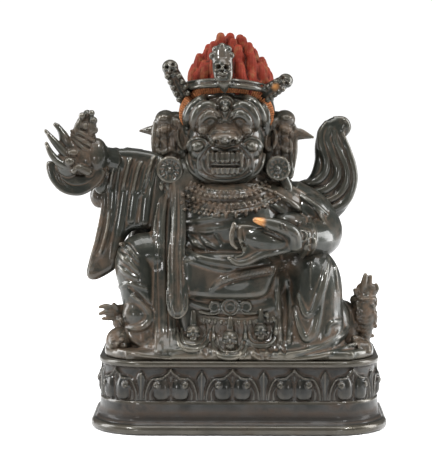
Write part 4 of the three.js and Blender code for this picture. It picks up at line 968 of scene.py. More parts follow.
def skull_crown():
    clay = Clay()
    clay.lie_on("guardian_head", "guardian_hair")
    for lift, radius, half in ((135.0, 21.0, 1.5), (137.5, 20.4, 1.0)):  # band
        clay.limb([(HAIR_X - 1.4 + radius * math.cos(a), -2.0 + (radius + 0.6) * math.sin(a),
                    lift - 1.0 * math.sin(a) - 1.0 - 0.8 * math.cos(a) - 1.8 * math.cos(a) ** 2)
                   for a in np.linspace(0, ROUND, 25)], [half, half], sides=14, steps=96)
    # middle: a tall skull under a knot of curls, its chin pointed over the band
    clay.limb([(-7.2, -24.0, 131.4), (-7.6, -25.4, 137), (-8.2, -24.4, 144), (-8.6, -22.4, 152)],
              [0.7, 3.4, 4.8, 5.1, 5.0, 4.2], flat=0.62, sides=28)
    skull(clay, (-8.3, -25.0, 143.2), (-0.04, 0.12, 1), 4.5)
    for right, ahead, above, size in (
            (-4.6, 1.6, 149.4, 2.0), (4.2, 1.6, 149.6, 2.0), (-3.2, 2.4, 152.6, 1.9), (3.0, 2.4, 152.8, 1.9),
            (0, 2.4, 154.0, 2.0), (-1.9, 1.0, 149.8, 1.6), (1.9, 1.0, 149.8, 1.6), (0, 1.0, 151.6, 1.4)):
        clay.ball((-8.5 + right, -24.6 + ahead, above), (size, size * 0.9, size))
    # the viewer's left one, tall, and the right one, short; both are stout stems that end in a skull
    each(clay.limb, [
        ([(-26.6, -8.6, 125.4), (-28.4, -9.6, 129.6), (-31, -10.6, 135.4), (-33.6, -11.6, 141)],
         [2.8, 3.6, 4.2, 4.3, 3.9, 3.7]),
        ([(10.6, -9.6, 127.6), (14.2, -11, 131.2), (18.4, -12, 134), (21.6, -12.4, 135.8)],
         [3.0, 3.8, 4.0, 3.8, 3.6])], sides=24)
    skull(clay, (-34.2, -12.2, 142.6), (-0.45, -0.1, 1), 4.1, (-0.2, -1, 0))
    skull(clay, (22.4, -12.6, 136.4), (1, -0.1, 0.62), 3.8, (0.15, -1, 0.1))
    for i in range(9):  # bosses on both stems
        side = 1 if i % 2 else -1
        each(clay.ball, [((-27.6 - i * 0.72 + side * 2.6, -13.4 - i * 0.3, 128.4 + i * 1.45 + side * 0.8),
                          [1.5] * 3),
                         ((12.8 + i * 0.95 - side * 1.4, -14.6 - i * 0.12, 129.6 + i * 0.68 + side * 2.3),
                          [1.3] * 3)], around=14, down=10)
    for x, lean in ((-18.4, -0.12), (10.4, 0.12)):  # two behind
        clay.limb([(x, 15, 130), (x + lean * 10, 18, 136)], [3, 2.6], sides=18)
        skull(clay, (x + lean * 16, 19.6, 140.6), (lean, 0.3, 1), 3.2, (0, 1, 0))
    for side in (-1, 1):  # knots where the crown is tied
        clay.ball((HEAD_X + side * 20.6, -7.5, 128), (3.0, 3.4, 3.4))
    crown = clay.skin("skull_crown", "face_grain", rounds=1)
    relief = Relief(crown)
    relief.stroke([(-24.6, 134.6), (-16, 136.2), (-6.5, 136.8), (4, 136.0), (12, 134.2)], 0.7, -0.5,
                  taper=0.05)
    for x, z, width in ((-10.3, 144.2, 1.5), (-6.5, 143.9, 1.5), (-8.5, 141.8, 0.8), (-36.2, 143.9, 1.4),
                        (-33.0, 145.2, 1.4), (-33.6, 142.2, 0.9), (21.2, 138.6, 1.3), (23.6, 135.8, 1.3),
                        (20.2, 135.2, 0.8)):
        relief.dots([(x, z), (x + 0.1, z)], width, -0.9 * width)  # eyes and noses of the skulls
    relief.stroke([(-10.8, 139.8), (-8.5, 139.2), (-6.2, 139.8)], 0.7, -0.8, taper=0)
    relief.done()
    return crown


# Ribbon bows, leaf tips, streamers and disc earrings at both sides of the face

def ear_disc(clay, centre, radius, facing, studs):
    """A round earring: a raised rim, a ring of beads, an inner ring and a stud on a sunk ground."""
    clay.lathe(centre, [(radius * 0.97, -3.4), (radius * 0.97, -0.9), (radius * 0.8, -1.0)], facing, 48)
    axis, across, up = disc_axes(facing)

    def place(turn, share, lift):
        out = across * math.cos(turn) + up * math.sin(turn)
        return Vector(centre) + out * radius * share + axis * lift

    for share, thick in ((0.86, 1.1), (0.34, 0.7)):
        clay.limb([place(turn, share, 0.0) for turn in np.linspace(0, ROUND, 25)], [thick, thick], sides=12,
                  steps=64)
    each(clay.ball, [(place(ROUND * i / studs, 0.6, 0.1), [radius * 0.135] * 3) for i in range(studs)]
         + [(place(0, 0, 0.4), [radius * 0.17] * 3)], around=12, down=8)


def head_ribbons():
    clay = Clay()
    clay.slab([(-43.4, 112), (-40, 119), (-34, 121.4), (-28, 120), (-25.4, 112), (-24.8, 98), (-27, 87),
               (-33, 84), (-40, 86), (-42.4, 98)], -7.5, 5.0, 3.0)
    clay.slab([(10.6, 112), (13, 119.6), (19, 121.6), (26, 118.6), (29.2, 110), (28.4, 99), (26.8, 89),
               (21, 84), (14, 86), (11.4, 98)], -6.5, 5.0, 3.0)
    clay.settle()
    each(clay.ridge, [  # folds down the bows' ribbons
        ([(-41.4, 116), (-41.9, 106), (-40.6, 96), (-39.8, 88)], [2.0, 2.6, 2.4, 1.8]),
        ([(-37.4, 117), (-37.4, 107), (-36.2, 98)], [1.6, 2.1, 1.8]),
        ([(-33.4, 119), (-33.8, 109), (-32.8, 98)], [1.7, 2.3, 2.0]),
        ([(-28.8, 118), (-28.6, 106), (-27.8, 92)], [2.0, 2.6, 2.2]),
        ([(27.0, 114), (27.4, 103), (25.4, 89)], [1.9, 2.2, 2.0]),
        ([(22.6, 115), (23.4, 106), (22.2, 97)], [1.5, 1.9, 1.6]),
        ([(18.8, 117), (19.4, 107), (18.6, 97)], [1.4, 1.8, 1.6]),
        ([(14.0, 118), (14.4, 106), (14.6, 92)], [1.9, 2.4, 2.2])], sides=16, flat=0.75, sink=0.35)
    each(clay.ridge, [  # pinches across them
        ([(-42.6, 112), (-38, 110.4), (-32.6, 112.4)], [1.0, 1.7, 1.1]),
        ([(-42.2, 103), (-38.4, 100.8), (-34.4, 102.4), (-30, 100.6)], [1.0, 1.6, 1.5, 1.0]),
        ([(-40.6, 107.6), (-37.0, 105.6), (-35.6, 101)], [1.0, 1.5, 0.9]),
        ([(18, 112), (22.6, 110.0), (28.0, 111.0)], [1.0, 1.6, 1.0]),
        ([(19.6, 104.6), (23.4, 102.0), (28.2, 103.4)], [1.0, 1.6, 1.0]),
        ([(20.8, 108.6), (24.6, 107.0), (26.2, 103)], [1.0, 1.4, 0.9])], sides=14, sink=-0.2)
    for side, x in ((-1, -37.0), (1, 22.8)):  # bows
        clay.ball((x, -10.4, 117.4), (5.4, 4.8, 5.0), around=32, down=20)
        clay.ball((x + side * 0.6, -13.6, 118.6), (3.2, 2.8, 2.0))
        clay.ball((x + side * 0.4, -13.6, 112.8), (3.4, 3.2, 2.4), turn=(0, side * 12, 0))
        clay.ball((x - side * 6.0, -11.6, 115.8), (4.6, 3.6, 3.0), turn=(0, -side * 30, 0))
    each(clay.limb, [([(-37, -10, 111.7), (-44.5, -10, 112), (-50, -10, 111.8)], [2, 2.8, 0.7]),
                     ([(24, -10, 110.5), (30.5, -10, 110.2), (37.3, -10, 108.6)], [2.6, 3, 0.7])],
         flat=0.6)  # leaf tips
    clay.ball((-34.4, -12.5, 92.7), (6.3, 4.8, 6.4))
    clay.ball((19.6, -12.5, 93.3), (5.7, 4.2, 5.8))
    ear_disc(clay, (-34.6, -19.6, 92.8), 6.7, (-0.1, -1, 0.05), 11)
    ear_disc(clay, (19.4, -18.6, 93.4), 6.1, (0.15, -1, 0.05), 11)
    for x, z, lean in ((15.8, 107.6, 0.8), (-28.4, 108.4, -0.8)):  # loops of the ears
        clay.limb([(x + lean * math.sin(a) + 2.5 * math.cos(a), -13.4, z + 5.4 * math.sin(a))
                   for a in np.linspace(0, ROUND, 17)], [0.95, 0.95], sides=10, steps=44)
    for x in (-38.6, -35.4, -32.2):  # fringe under the disc
        clay.limb([(x, -17.6, 87), (x - 0.2, -18.2, 84.6), (x, -18.0, 83)], [1.3, 1.6, 1.2])
    clay.limb([(-35.0, -16, 85), (-35.2, -17, 81), (-35.4, -16.8, 77.4)], [2.2, 2.6, 1.3], flat=0.8)
    clay.limb([(22.4, -13.6, 88), (24.2, -14.4, 83), (24.2, -14.4, 78.8)], [2.8, 3.1, 1.8], flat=0.9)
    ribbons = clay.skin("head_ribbons", "fine_grain", rounds=1, share=0.94)
    relief = Relief(ribbons)
    for x, low, high in ((-39.4, 98, 116), (-35.4, 100, 116), (-31.2, 99, 117), (-42.0, 92, 112),
                         (25.2, 92, 112), (21.0, 99, 114), (16.6, 99, 115), (27.6, 92, 110)):
        relief.stroke([(x, high), (x - 0.3, (low + high) / 2), (x, low)], 0.7, -0.55, taper=0.1)
    relief.done()
    return ribbons


# The viewer's left arm, raised, with its wide sleeve hanging to a corner beside the knee

def raised_sleeve():
    clay = Clay()
    clay.slab([(-67.5, 100.5), (-59.4, 102.8), (-49, 102.2), (-38, 99), (-32, 90), (-33, 76), (-38, 63),
               (-46, 62), (-53.8, 61.4), (-58.4, 55), (-61.2, 44), (-66.5, 39.4), (-73.6, 36.4), (-77.2, 39),
               (-75.6, 47.5), (-72, 60), (-69, 73.5), (-67.8, 88)], -10, 6.5, 3.2)
    clay.limb([(-24, -2, 86), (-42, -5, 92), (-56, -9, 94), (-68, -14.5, 96)], [10, 8.8, 8, 6.6], sides=36,
              steps=30)
    clay.ball((-42, -2, 84), (13, 7, 15))
    each(clay.limb, [([(-67.0, -11, 99.0), (-61.6, -10, 99.8)], [3.6, 3.8]),
                     ([(-57.2, -9.6, 99.4), (-49.4, -8.6, 98.6)], [4.2, 4.0]),
                     ([(-45.2, -8, 97.4), (-41.6, -8, 96.6)], [3.8, 3.8])], sides=24)  # blocks along the top
    clay.ball((-70.4, -12.4, 79), (4.8, 4.0, 6.0))  # inner cuff that peeps out below the blade
    clay.settle()
    for points, radii in (
            ([(-67.4, 97), (-66.8, 86), (-67.6, 72), (-70.6, 58), (-74.6, 43)], [1.6, 2.2, 2.1, 1.5]),
            ([(-61.4, 98), (-62.6, 86), (-63.6, 72), (-66.8, 58), (-69.6, 49)], [2.2, 2.8, 2.6, 1.2]),
            ([(-55.0, 97), (-57.0, 84), (-59.8, 66), (-63.6, 47)], [2.2, 3.0, 2.8, 1.2]),
            ([(-49.0, 95), (-52.0, 82), (-54.4, 67)], [2.2, 2.9, 2.2]),
            ([(-43.6, 94), (-46.0, 80), (-47.6, 66)], [2.1, 2.8, 2.4])):
        for side in (-1, 1):
            clay.ridge(points, radii, side, sides=18, flat=0.55, sink=0.1)
    sleeve = clay.skin("raised_sleeve", "fine_grain")
    relief = Relief(sleeve)
    relief.stroke([(-64.6, 73), (-66.4, 62), (-69.4, 52), (-72.6, 46)], 1.3, 1.1)
    relief.stroke([(-66.8, 73), (-68.6, 62), (-71.6, 52), (-74.6, 46)], 1.0, -0.7)
    for x, z in ((-62.6, 94.6), (-55.4, 95.6), (-50.4, 94.0), (-46.4, 91.8), (-43.6, 97)):  # slanting pinches
        relief.stroke([(x + 1.6, z + 3.4), (x, z), (x - 1.2, z - 4.4), (x - 3.4, z - 14)], 1.4, 1.1)
        relief.stroke([(x + 3.6, z + 3.0), (x + 2.0, z), (x + 0.8, z - 4.4), (x - 1.2, z - 13)], 1.2, -1.0)
    relief.done()
    return sleeve


# The raised hand with the crescent chopper and its thunderbolt handle

def raised_hand():
    clay = Clay()
    clay.slab([(-96, 96), (-95.4, 91), (-93.2, 86.4), (-89.4, 82.4), (-84.2, 80.3), (-78.4, 80.3),
               (-73.4, 82.8), (-69, 86.6), (-66.6, 92), (-71, 95), (-77, 90.5), (-84, 91.5), (-90, 95.6),
               (-94, 97.4)], -24, 1.9, 1.3)  # crescent blade
    clay.limb([(-64, -14, 96.5), (-69, -18, 98), (-72, -20.5, 99.5)], [7, 6.6, 7], sides=24)  # wrist
    clay.limb([(-66, -21.4, 90.5), (-67.6, -22.4, 97), (-66.6, -21, 104)], [1.1, 1.3, 1.1])  # bangle
    each(clay.ball, [
        ((-71, -21.5, 99.4), (5.8, 6, 9.4)), ((-78.4, -23, 98.0), (6.6, 4.6, 7.8)),  # heel and palm
        ((-85, -25.4, 96.6), (6.2, 3.4, 7.2)),  # fingers' roots
        ((-84, -28.8, 97.4), (2.7, 2.2, 2.3)), ((-82.2, -28.4, 101.8), (2.8, 2.0, 1.8)),  # knuckles
        ((-69.2, -20, 86), (3.6, 3, 5.4)),  # cloth between the blade and the sleeve
        ((-75.6, -22, 120.4), (2.2, 2.2, 2.4))])  # tip of the thunderbolt
    each(clay.limb, [
        ([(-81, -25, 97), (-86.2, -26.4, 101), (-90.6, -27, 106), (-96, -27, 112.6)], [2.5, 2.3, 1.9, 0.9]),
        ([(-82, -26.2, 93.6), (-88.6, -28, 96.6), (-93.0, -28, 101), (-95.6, -28, 106.4)],
         [2.4, 2.2, 1.8, 1.0]),
        ([(-82, -24, 103), (-86, -24.4, 107), (-87.6, -24.6, 110.6), (-89.4, -24.5, 113.6),
          (-91.4, -24.5, 115.6)], [2.6, 2.4, 2.7, 1.7, 1.2]),  # raised finger
        ([(-74.6, -26.6, 92), (-79.6, -28.6, 94.4), (-82, -28.4, 92.6)], [2.2, 2.1, 1.6]),  # little finger
        ([(-80, -23, 92), (-78.5, -22.5, 104), (-76, -22, 118)], [2.4, 2.3, 2.3])])  # handle
    clay.limb([(-78.4, -22.6, 103), (-77.6, -22.6, 109.6), (-75.6, -22.6, 117.6)], [6.6, 6.4, 3.4], sides=24,
              flat=0.5)
    for drop in (0, 3.4, 6.8, 10.2):  # windings bound round the handle
        clay.limb([(-83.4, -24.6, 112.4 - drop * 0.5), (-78.4, -26.2, 111.4 - drop),
                   (-72.2, -25.2, 107.6 - drop)], [0.8, 1.2, 0.9], flat=0.8)
    for turn in range(4):  # prongs that close over the handle's end
        angle = math.radians(45 + 90 * turn)
        x, y = math.cos(angle), math.sin(angle)
        clay.limb([(-77.8 + x * 1.4, -22 + y * 1.2, 107.8), (-77.0 + x * 5.2, -22 + y * 4.2, 112.2),
                   (-76.0 + x * 4.2, -22 + y * 3.4, 117.2), (-75.5 + x * 0.7, -22 + y * 0.6, 121.2)],
                  [1.3, 1.8, 1.6, 1.2])
    for x, z, size in ((-72.4, 117.4, 2.1), (-79.2, 115.4, 2.1), (-72.0, 112.8, 2.0), (-80.6, 111.4, 1.9),
                       (-77.9, 119.8, 1.8), (-73.2, 121.2, 1.6), (-76.4, 114.6, 2.2), (-75.6, 109.6, 2.1)):
        clay.ball((x, -24.4, z), (size, size, size), around=18, down=12)  # knobs
    hand = clay.skin("raised_hand", "face_grain", rounds=1)
    relief = Relief(hand)
    for inset in (1.6, 2.7, 3.8):  # lines along the blade's edge
        relief.stroke([(-94.4 + inset, 93.4), (-92.0 + inset, 87.6), (-88.2 + inset * 0.8, 84)], 0.45, -0.35)
    relief.stroke([(-91, 95), (-88, 88.4), (-82, 85.4), (-75.6, 86.6), (-70, 91)], 0.6, -0.3)
    for x, z in ((-94.8, 110.8), (-95.0, 104.8), (-89.8, 115.4)):  # nails
        relief.dots([(x, z), (x + 0.1, z)], 0.9, 0.3)
    relief.done()
    return hand


# The viewer's right arm, bent, with a bangle and the hand before the chest

def bent_arm():
    clay = Clay()
    clay.limb([(26, -2, 76), (36, -3, 71), (42, -8, 62.5), (40.5, -18, 58), (30, -31, 58.5)],
              [11, 10.4, 10, 9, 6.6], sides=40, steps=40)
    clay.ball((36, -7, 71), (12, 10, 9), turn=(0, 30, 0), around=36, down=24)
    clay.ball((27, -14, 66), (11, 10, 6), turn=(0, 20, 0), around=36, down=24)
    clay.slab([(-1.2, 66.4), (3.5, 67.2), (9.4, 66.2), (16.3, 64.2), (24.2, 61.8), (26.6, 57.8), (23.2, 54.4),
               (15.3, 52.6), (9.4, 50.4), (4.4, 47.9), (-0.5, 47.2), (-4.0, 49.0), (-2.4, 51.6), (1.6, 53.2),
               (0.8, 56.4), (-0.8, 61.3)], -38.0, 3.8, 2.4)
    clay.ball((13, -39.6, 60), (11.6, 4.8, 6.6), turn=(0, 10, 0), around=40, down=28)  # back of the hand
    each(clay.limb, [
        ([(27.2, -38.4, 56.6), (26.4, -42.0, 62.6), (20.8, -44.0, 66.2), (14.0, -44.2, 68.2),
          (7.6, -43.4, 69.8)], [4.0, 3.9, 3.5, 2.9, 1.4], {"sides": 22}),  # thumb
        ([(-2.4, -41.4, 67.8), (-3.6, -42.6, 62.7), (-3.4, -42.2, 58.4), (-1.2, -41.2, 55.6)],
         [1.1, 1.35, 1.3, 1.0]),  # bent forefinger
        ([(0.2, -41.4, 65.4), (0.4, -42.0, 61.2), (1.6, -41.6, 57.2)], [1.2, 1.4, 1.1]),
        ([(26, -38.6, 55.6), (17.8, -40.6, 54.0), (10.4, -41.4, 52.2), (4.0, -41.8, 49.0),
          (-1.0, -41.8, 48.4), (-4.9, -41.4, 50.9)], [2.2, 2.3, 2.3, 2.2, 1.9, 1.2],
         {"sides": 18})], sides=16)  # little finger along the lower edge
    clay.settle()
    for x, lean in ((33.2, 1.6), (36.8, 2.2)):  # bangle and cuff
        low_x, high_x = x - lean, x - lean * 0.8
        clay.limb([(low_x, clay.surface(low_x, 50.6) + 1.0, 50.6), (x, clay.surface(x, 58) - 0.3, 58),
                   (high_x, clay.surface(high_x, 66) + 0.6, 66)], [1.5, 1.7, 1.5])
    clay.rosette((30.4, -39.0, 61.4), 3.2, (0.1, -1, 0.2), petals=7, sides=32)
    each(clay.ridge, [([(30.6, 73), (34.2, 69), (36.6, 64.6), (37.4, 60)], [0.9, 1.6, 1.6, 0.8]),
                      ([(35.4, 76), (39.8, 71.4), (42.6, 66)], [0.8, 1.7, 0.9]),
                      ([(22, 84), (30, 79.6), (38, 74.6), (44, 70)], [1.0, 1.9, 1.9, 0.9])], sides=14)
    arm = clay.skin("bent_arm", "fine_grain")
    relief = Relief(arm)
    relief.stroke([(11, 64.2), (16, 62.2), (22, 59.4)], 1.0, -0.9)  # fold between the thumb and the hand
    relief.dots([(1.9, 57.4), (2.1, 56.8)], 1.8, -1.6)
    relief.strokes([[(x, 68.4), (x + 1.0, 65.0)] for x in (19.6, 21.2)], 0.6, -0.4)
    relief.stroke([(8.4, 70.6), (11.4, 66.6), (14.6, 66.8)], 0.6, -0.35)
    for z in (54, 57, 60, 63):
        relief.dots([(34.4, z), (34.5, z)], 0.9, 0.45)
    relief.stroke([(24, 64.6), (27.6, 61), (28.4, 56)], 0.8, -0.4)
    relief.done()
    return arm


# The end of the other sleeve, blown up behind the shoulder like a flame that curls over at its tip

def flying_sleeve():
    clay = Clay()
    clay.slab([(33.5, 85.5), (36.6, 89), (38.6, 96), (38.7, 104), (40.6, 111.4), (44.8, 116.6), (50.6, 118.6),
               (54.8, 116.4), (55.2, 112.6), (53.6, 109), (56.4, 101.6), (59.4, 94.4), (60.2, 87.6),
               (58.8, 79.6), (55, 71.6), (48, 65), (36, 62), (24, 64), (22, 76), (28, 82)], 5, 4.6, 2.6)
    clay.settle()
    for side in (-1, 1):
        each(clay.ridge, [
            ([(30, 71), (44, 70.6), (53.4, 74.6), (57.4, 82), (58.2, 90), (55.6, 101), (52.4, 110)],
             [1.6, 2.4, 2.4, 2.2, 1.2]),
            ([(30, 75), (41.5, 75.6), (50.4, 78.4), (54.2, 84), (54.8, 91), (51.6, 99), (48.6, 105),
              (48.0, 111)], [1.6, 2.5, 2.5, 2.2, 1.2]),
            ([(31, 79.7), (41.6, 80.6), (48.8, 85.8), (50.2, 92.5), (46.6, 100.2), (44.6, 107.3),
              (46.6, 113)], [1.6, 2.6, 2.5, 2.2, 1.2]),
            ([(31.4, 84.0), (38.8, 85.6), (43.4, 89.9), (44.4, 96.1), (41.8, 103.7), (41.6, 110.5),
              (44.6, 115.6)], [1.5, 2.5, 2.4, 2.0, 1.1])], sides=16, side=side, flat=0.8, sink=0.2)
    clay.limb([(53.0, 5, 109), (54.8, 3.4, 112.8), (53.2, 2.4, 116.4), (48.4, 2.6, 118)],
              [1.8, 2.4, 2.2, 1.0])  # curled tip
    flame = clay.skin("flying_sleeve", "fine_grain")
    relief = Relief(flame)
    for side in (-1, 1):
        relief.strokes([[(34, 73), (47, 74.4), (55.6, 81.6), (56.8, 91), (53.6, 101), (50.4, 110)],
                        [(34, 77.6), (45.6, 78), (52.0, 85), (52.6, 92), (49.4, 100), (46.6, 108)],
                        [(34, 82.4), (43.6, 84), (47.4, 91), (45.6, 99), (43.0, 107)]], 0.8, -0.8, side=side)
    relief.done()
    return flame


# Hands, head and foot of the small body he crushes, at both ends of the hem

def trampled_body():
    clay = Clay()
    clay.ball((-60, -25, 7.2), (6.8, 7, 7), around=32, down=24)  # its head
    clay.ball((-54, -17, 9), (9, 10, 10))
    clay.ball((-59.6, -20, 16), (4.2, 4, 4))
    clay.limb([(-50, -14, 18), (-58, -18, 21.5), (-64.5, -20, 21)], [4, 3.4, 3], sides=18)
    each(clay.limb, [([(-63, -20.6, 22.6), (-66.6, -21.4, 24.2), (-70, -21, 23.8)], [1.7, 1.5, 0.9]),
                     ([(-63, -21.4, 20.6), (-67.4, -22.4, 21.2), (-70, -22, 20.4)], [1.6, 1.4, 0.9]),
                     ([(-62.6, -21.4, 18.6), (-66, -22.4, 18.2), (-68.4, -22, 18.0)], [1.6, 1.3, 0.9]),
                     ([(-61, -21, 23), (-63, -22, 25.6)], [1.5, 0.9])])
    clay.ball((53, -9, 10), (9, 10, 16))
    clay.ball((59.5, -17, 2), (8, 10, 5.4))  # heel and instep of its foot
    for start, end in ((57.2, 60.7), (59.7, 62.7), (61.4, 64.2), (63.2, 65.2)):  # toes
        clay.limb([(start, -23, 7.4), (0.5 * (start + end), -28, 6.2), (end, -31, 2.6)], [1.0, 1.25, 0.9])
    clay.limb([(61, -15, 3), (60, -20, 6.4), (57.6, -23, 8.6)], [3.6, 3.0, 1.6])
    clay.limb([(63.4, -13, 4), (63.4, -12.6, 9.4), (63.2, -12, 17), (63.8, -12, 24), (64.2, -12, 28)],
              [2.4, 4.2, 6.0, 6.0, 4.8], sides=28)  # forearm
    chance = np.random.default_rng(7)
    for i in range(46):  # shaggy hair along both edges of the forearm
        turn, z = chance.uniform(-0.5, 0.9) + (math.pi if i % 3 else 0), chance.uniform(8, 27)
        reach = 0.94 * min(6.2, 3.0 + 0.32 * (z - 4))
        clay.ball((63.5 + reach * math.cos(turn), -12 - reach * abs(math.sin(turn)), z),
                  (chance.uniform(0.8, 1.3), 1.0, chance.uniform(1.0, 1.7)), around=12, down=8)
    clay.limb([(63.7 + 5.2 * math.cos(a), -12 + 5.2 * math.sin(a), 27.4) for a in np.linspace(0, ROUND, 17)],
              [0.9, 0.9], sides=10, steps=48)  # bangle
    each(clay.ball, [((58.8, -13, 26.6), (2.8, 2.8, 2.6)), ((66.4, -12, 31), (3.6, 3.0, 4)),
                     ((62.8, -12.4, 31.6), (3.8, 3.0, 3.8))])
    each(clay.limb, [  # claws
        ([(62.4, -13.6, 31), (63.0, -14.2, 35.4), (63.8, -13.8, 39.6)], [1.9, 1.7, 1.1]),
        ([(66, -12.6, 32), (65.8, -13.2, 35.4), (66.4, -13.0, 38.6)], [1.8, 1.7, 1.1]),
        ([(68.4, -12, 30), (69.8, -12.4, 32.4), (69.2, -12.6, 34.6)], [1.5, 1.3, 0.8]),
        ([(59.6, -14, 29), (58.4, -15, 32)], [1.5, 1.1])])
    clay.settle()
    face_x = -60.4
    for side in (-1, 1):  # eyes, brows and cheeks of the small face
        clay.knob(face_x + side * 2.2, 8.6, (1.2, 1.4, 1.0))
        clay.ridge(beside(face_x, side, [(0.8, 10.2), (2.4, 11.2), (4.4, 10.0)]), [0.6, 0.9, 0.5])
        clay.knob(face_x + side * 3.2, 5.4, (1.5, 1.3, 1.3))
    clay.knob(face_x, 6.8, (1.1, 1.7, 1.3))
    clay.ridge([(-62.6, 3.4), (face_x, 2.8), (-58.2, 3.4)], [0.6, 0.8, 0.6])
    small = clay.skin("trampled_body", "fine_grain", rounds=1)
    relief = Relief(small)
    relief.strokes([[(59.4, 8 + lift), (63.4, 7.4 + lift), (67.6, 8.2 + lift)]
                    for lift in np.arange(6) * 2.2], 0.6, -0.3)
    relief.done()
    return small


# Beads, belt scrolls and hanging heads, laid on the finished body

def body_ornaments():
    clay = Clay()
    clay.lie_on("guardian_body", "guardian_head")
    for points, radius, pitch in (
            ([(-26, 83.6), (-17, 80.6), (-6, 79.4), (6, 80.6), (15, 84)], 1.15, 2.3),
            ([(-28, 80.6), (-18, 77.2), (-6, 75.8), (7, 77.2), (18, 81.4)], 1.3, 2.7),
            ([(-28.6, 76.6), (-18, 73.6), (-6, 72.4), (8, 73.6), (20, 78.2)], 1.0, 2.05),
            ([(-27, 73.4), (-19, 71.4), (-10, 70.6)], 1.0, 2.2)):
        clay.beads(points, radius, pitch)
    for x in np.arange(9) * 4.9 - 26:  # short pendants below the collar
        clay.knob(x, 70.6 + 0.012 * (x + 6) ** 2, (0.9, 1.1, 1.7), around=12, down=8)
    each(clay.ridge, [([(-27, 78.8), (-17, 75.4), (-6, 74.1), (7, 75.4), (18, 79.6)], [0.8, 1.0, 0.8]),
                      ([(-25, 85.4), (-16, 82.0), (-6, 81.0), (5, 82.0), (14, 85.4)], [0.8, 1.0, 0.8])],
         dense=6)  # plain rims between the bead strings
    clay.beads([(-24, 86.6), (-15, 83.4), (-6, 82.4), (4, 83.4), (13, 86.8)], 1.0, 2.1)
    for x, z, side in ((-12.2, 25.2, -1), (-4.3, 25.4, 0), (3.6, 25.4, 1)):  # cloud scrolls of the belt
        y = min(clay.surface(x + dx, z + dz) for dx in (-2, 2) for dz in (-2, 2)) - 0.2
        for outer, inner in ((3.3, 1.0),) if side else ((3.9, 3.9), (2.0, 2.0)):
            turns = np.linspace(0, ROUND * (1.5 if side else 1), 25)
            scroll = [(x + side * 7.4, y + 0.4, z - 2.4), (x + side * 3.8, y + 0.2, z - 3.2)] if side else []
            for turn, reach in zip(turns, np.linspace(outer, inner, 25)):
                scroll.append((x - (side or 1) * reach * math.sin(turn), y, z - reach * math.cos(turn)))
            clay.limb(scroll, [0.8, 0.95, 0.8], steps=64)
        clay.ball((x, y, z), (2.6, 0.8, 2.6))
    for x in np.arange(13) * 2.9 - 17.6:  # studs of the brown band
        z = 17.6 + 0.004 * (x + 2) ** 2
        clay.ball((x, clay.surface(x, z), z), (1.05, 1.1, 1.5), around=10, down=8)
    clay.knob(13.8, 21.0, (1.7, 1.8, 1.7))
    for x, z, size in ((-22.7, 11.9, 3.7), (-4.4, 9.2, 4.1), (10.9, 12.8, 3.6)):  # hanging heads
        y = clay.surface(x, z) - 0.8
        clay.limb([(x, y - 0.2, z + 11), (x, y - 0.8, z + 7), (x, y - 1.2, z + 3.4)], [1.2, 1.5, 1.9],
                  flat=0.8)
        skull(clay, (x, y - 1.6, z), (0, 0, 1), size)
        for out, drop, thick in ((2.3, 1.9, 1.4), (1.65, 1.35, 0.9)):
            clay.ridge(arc(x, [(0, z - drop * size), (out * size * 0.72, z - drop * size * 0.72),
                               (out * size, z + 2.4)]),
                       [thick * share for share in (0.5, 1, 1.1, 1, 0.5)], sides=14, flat=0.8)
    for x, z in ((-12.6, 12.4), (3.2, 12.6), (18.4, 15.0)):  # tassels
        clay.limb([(x, clay.surface(x, z + seen) - 0.2, z + lift)
                   for seen, lift in ((3, 3.4), (0, 0), (-3, -3))], [0.9, 1.2, 1.6], sides=10)
    return clay.skin("body_ornaments", "face_grain", rounds=1)


# The plinth: one ring of the moulded profile drawn out round a rounded rectangle, with petals in relief

def wall_place(distance, out, sizes):
    """Where the wall's plan is at a distance along it from the front's middle, moved out by `out`. It runs
    anticlockwise seen from above: front, viewer's right, back, viewer's left."""
    radius = sizes.corner_radius / MM
    half_x, half_y = sizes.width / MM / 2 - radius, sizes.depth / MM / 2 - radius
    quarter = math.pi / 2 * radius
    half = 2 * (half_x + half_y + quarter)
    left = distance % (2 * half)
    turned = -1 if left >= half else 1
    left -= half if turned < 0 else 0
    if left < half_x:
        x, y = left, -half_y - radius - out
    elif left < half_x + quarter:
        angle = (left - half_x) / radius
        x, y = half_x + math.sin(angle) * (radius + out), -half_y - math.cos(angle) * (radius + out)
    elif left < half_x + quarter + 2 * half_y:
        x, y = half_x + radius + out, left - half_x - quarter - half_y
    elif left < half_x + 2 * (quarter + half_y):
        angle = (left - half_x - quarter - 2 * half_y) / radius
        x, y = half_x + math.cos(angle) * (radius + out), half_y + math.sin(angle) * (radius + out)
    else:
        x, y = half_x - (left - half_x - 2 * quarter - 2 * half_y), half_y + radius + out
    return turned * x, turned * y


def near_curve(x, z, points, width):
    """1 on a curve, falling smoothly to 0 at a width from it; x and z are arrays."""
    path = smooth_path(points, 24)[0]
    best = np.full(x.shape, 1e9)
    for a, b in zip(path, path[1:]):
        line = b - a
        t = np.clip(((x - a[0]) * line[0] + (z - a[1]) * line[1]) / max(line @ line, 1e-9), 0, 1)
        best = np.minimum(best, np.hypot(x - a[0] - t * line[0], z - a[1] - t * line[1]))
    return np.where(best < width, 0.5 + 0.5 * np.cos(np.pi * np.minimum(best, width) / width), 0.0)


def step_between(value, low, high):
    """0 below the low value, 1 above the high one, and a smooth rise between them."""
    share = np.clip((value - low) / (high - low), 0, 1)
    return share * share * (3 - 2 * share)


